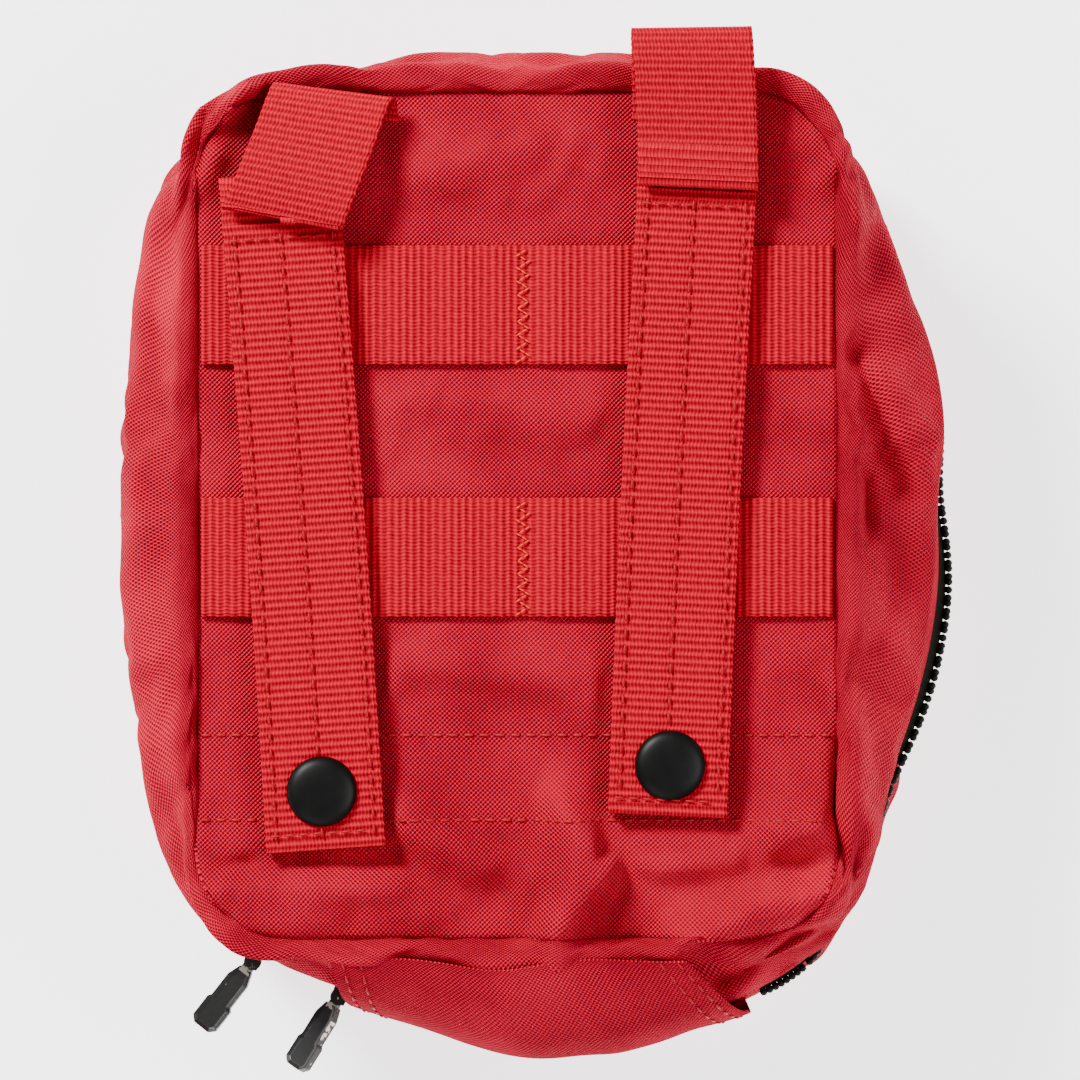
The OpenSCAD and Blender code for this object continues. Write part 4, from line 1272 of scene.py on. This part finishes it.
def bound_seam(name, outline, node, body):
    """A binding that stands upright along a closed outline."""
    low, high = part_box(node)
    angles = [i * math.pi / 200 for i in range(401)]
    fine = [outline(Vector((math.cos(a), math.sin(a)))) for a in angles]
    run = lengths_along(fine)

    def at(s):
        i, f = step_at(run, s)
        along = (fine[i] - fine[i - 1]).normalized()
        place = fine[i - 1].lerp(fine[i], f)
        return (Vector((place.x, place.y, (low[2] + high[2]) / 2)), Vector((0, 0, 1)),
                Vector((along.y, -along.x, 0)))
    tape = webbing(name, at, run[-1], high[2] - low[2] - 0.2 * MM, 0.9 * MM, body,
                   [node], BINDING, rib=1.8 * MM, height=0.05 * MM, per_rib=2, across=6)
    print(node, "%.0f mm long" % (run[-1] / MM))


bound_seam("back_seam_binding", lambda d: on_panel_line(d, -1.7 * MM), "back_binding", "back_half")
bound_seam("front_seam_binding", lambda d: on_zip_line(d, -10.1 * MM), "front_binding", "front_half")

# %% [markdown]
# ## Small soft pieces
# The elastic band, the pocket's trim and net and the packs of dressings are soft, but nearly
# box-shaped. Each is a copy of the frame's own mesh: its loose triangles are merged, its
# sharp edges bevelled round, and its long edges cut up so that the surface can be uneven.

# %% Softened copies of boxy pieces


def soften(node, name, material, body, radius):
    """A copy of a piece of the frame with round edges and a slightly uneven surface."""
    bm = bmesh.new()
    bm.from_mesh(NODES[node].data)
    bmesh.ops.remove_doubles(bm, verts=bm.verts, dist=1e-6)
    bmesh.ops.dissolve_limit(bm, angle_limit=math.radians(1), verts=bm.verts, edges=bm.edges)
    sharp = [edge for edge in bm.edges if edge.calc_face_angle(0) > math.radians(40)]
    bmesh.ops.bevel(bm, geom=sharp, offset=radius, offset_type="OFFSET", segments=3, profile=0.5,
                    affect="EDGES", material=-1, clamp_overlap=True)
    bmesh.ops.triangulate(bm, faces=[face for face in bm.faces if len(face.verts) > 4])
    long_edges = [edge for edge in bm.edges if edge.calc_length() > 6 * MM]
    bmesh.ops.subdivide_edges(bm, edges=long_edges, cuts=10, use_grid_fill=True)
    bm.normal_update()
    for vert in bm.verts:
        vert.co += vert.normal * ripple(vert.co, 9, 0.25)
    uv = bm.loops.layers.uv.new("weave")
    for face in bm.faces:
        axis = max(range(3), key=lambda i: abs(face.normal[i]))
        for loop in face.loops:
            co = loop.vert.co
            loop[uv].uv = [(co.y, co.z), (co.x, co.z), (co.x, co.y)][axis]
    return finish_piece(name, bm, material, body, [node])


soften("elastic_loops", "elastic_band", ELASTIC, "back_half", 0.3 * MM)
soften("mesh_pocket_binding", "pocket_trim", WEBBING, "front_half", 0.25 * MM)
packs = soften("dressing_packs", "dressing_wraps", PAPER, "front_half", 1.4 * MM)
soften("mesh_pocket", "mesh_pocket_net", NET, "front_half", 0.3 * MM)
print("dressing packs:", len(packs.data.polygons), "faces")

# %% [markdown]
# ## Gauze rolls
# A roll of gauze is a long strip wound up, so its end shows a spiral. The section is drawn
# as a row of steps across the end and spun round.

# %% Gauze rolls
ROLL_LAYERS = 12
bm = bmesh.new()
low, high = (Vector(corner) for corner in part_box("gauze_rolls"))
ROLL_R = (high.z - low.z) / 2
for centre_y in (high.y - ROLL_R, low.y + ROLL_R):
    axis = Vector((0, centre_y, (low.z + high.z) / 2))
    half = []
    for i in range(ROLL_LAYERS):
        r = ROLL_R * (i + 0.5) / ROLL_LAYERS
        half += [(high.x - 0.1 * MM, r - 0.5 * MM), (high.x - 0.9 * MM, r + 0.35 * MM)]
    half += [(high.x - 0.7 * MM, ROLL_R - 0.2 * MM), (high.x - 2 * MM, ROLL_R), (0, ROLL_R)]
    full = half + [(-x, r) for x, r in reversed(half[:-1])]
    verts = [bm.verts.new(axis + Vector((x, 0, max(r, 0.05 * MM)))) for x, r in full]
    edges = [bm.edges.new(pair) for pair in zip(verts, verts[1:])]
    bmesh.ops.spin(bm, geom=verts + edges, cent=axis, axis=(1, 0, 0), angle=2 * math.pi, steps=56,
                   use_merge=True)
bmesh.ops.remove_doubles(bm, verts=bm.verts, dist=1e-6)
bmesh.ops.holes_fill(bm, edges=bm.edges, sides=0)
bmesh.ops.recalc_face_normals(bm, faces=bm.faces)
for vert in bm.verts:
    vert.co += vert.normal * ripple(vert.co, 5, 0.3)
lay_weave(bm, lambda vert: (vert.co.x, vert.co.y + vert.co.z))
rolls = finish_piece("gauze_roll_pair", bm, GAUZE, "front_half", ["gauze_rolls"])
print("gauze rolls %.0f mm across" % (2 * ROLL_R / MM))

# %% [markdown]
# ## Finishes for the pieces that stay as the frame made them
# Hard pieces already have their true shape, so they only get their finish. A piece's
# finish goes into its material slots, because its mesh belongs to the frame.

# %% Assign materials
FINISHES = {
    "badge_patch": PILE, "front_foam": FOAM, "back_foam": FOAM, "zip_end_stops": CAST,
    "snap_reinforcement": WEBBING, "snap_studs": ENAMEL, "snap_stud_rivets": ENAMEL,
    "left_snap_socket": ENAMEL, "right_snap_socket": ENAMEL, "left_strap_stiffener": PLASTIC,
    "right_strap_stiffener": PLASTIC, "antiseptic_vials": VIAL, "vial_caps": CAP_PLASTIC,
    "tape_roll": TAPE, "tape_roll_core": CARD, "tweezers": STEEL, "left_slider": CAST,
    "right_slider": CAST,
}
for node, material in FINISHES.items():
    for slot in NODES[node].material_slots:
        slot.material = material
print("finished", len(FINISHES), "hard pieces")
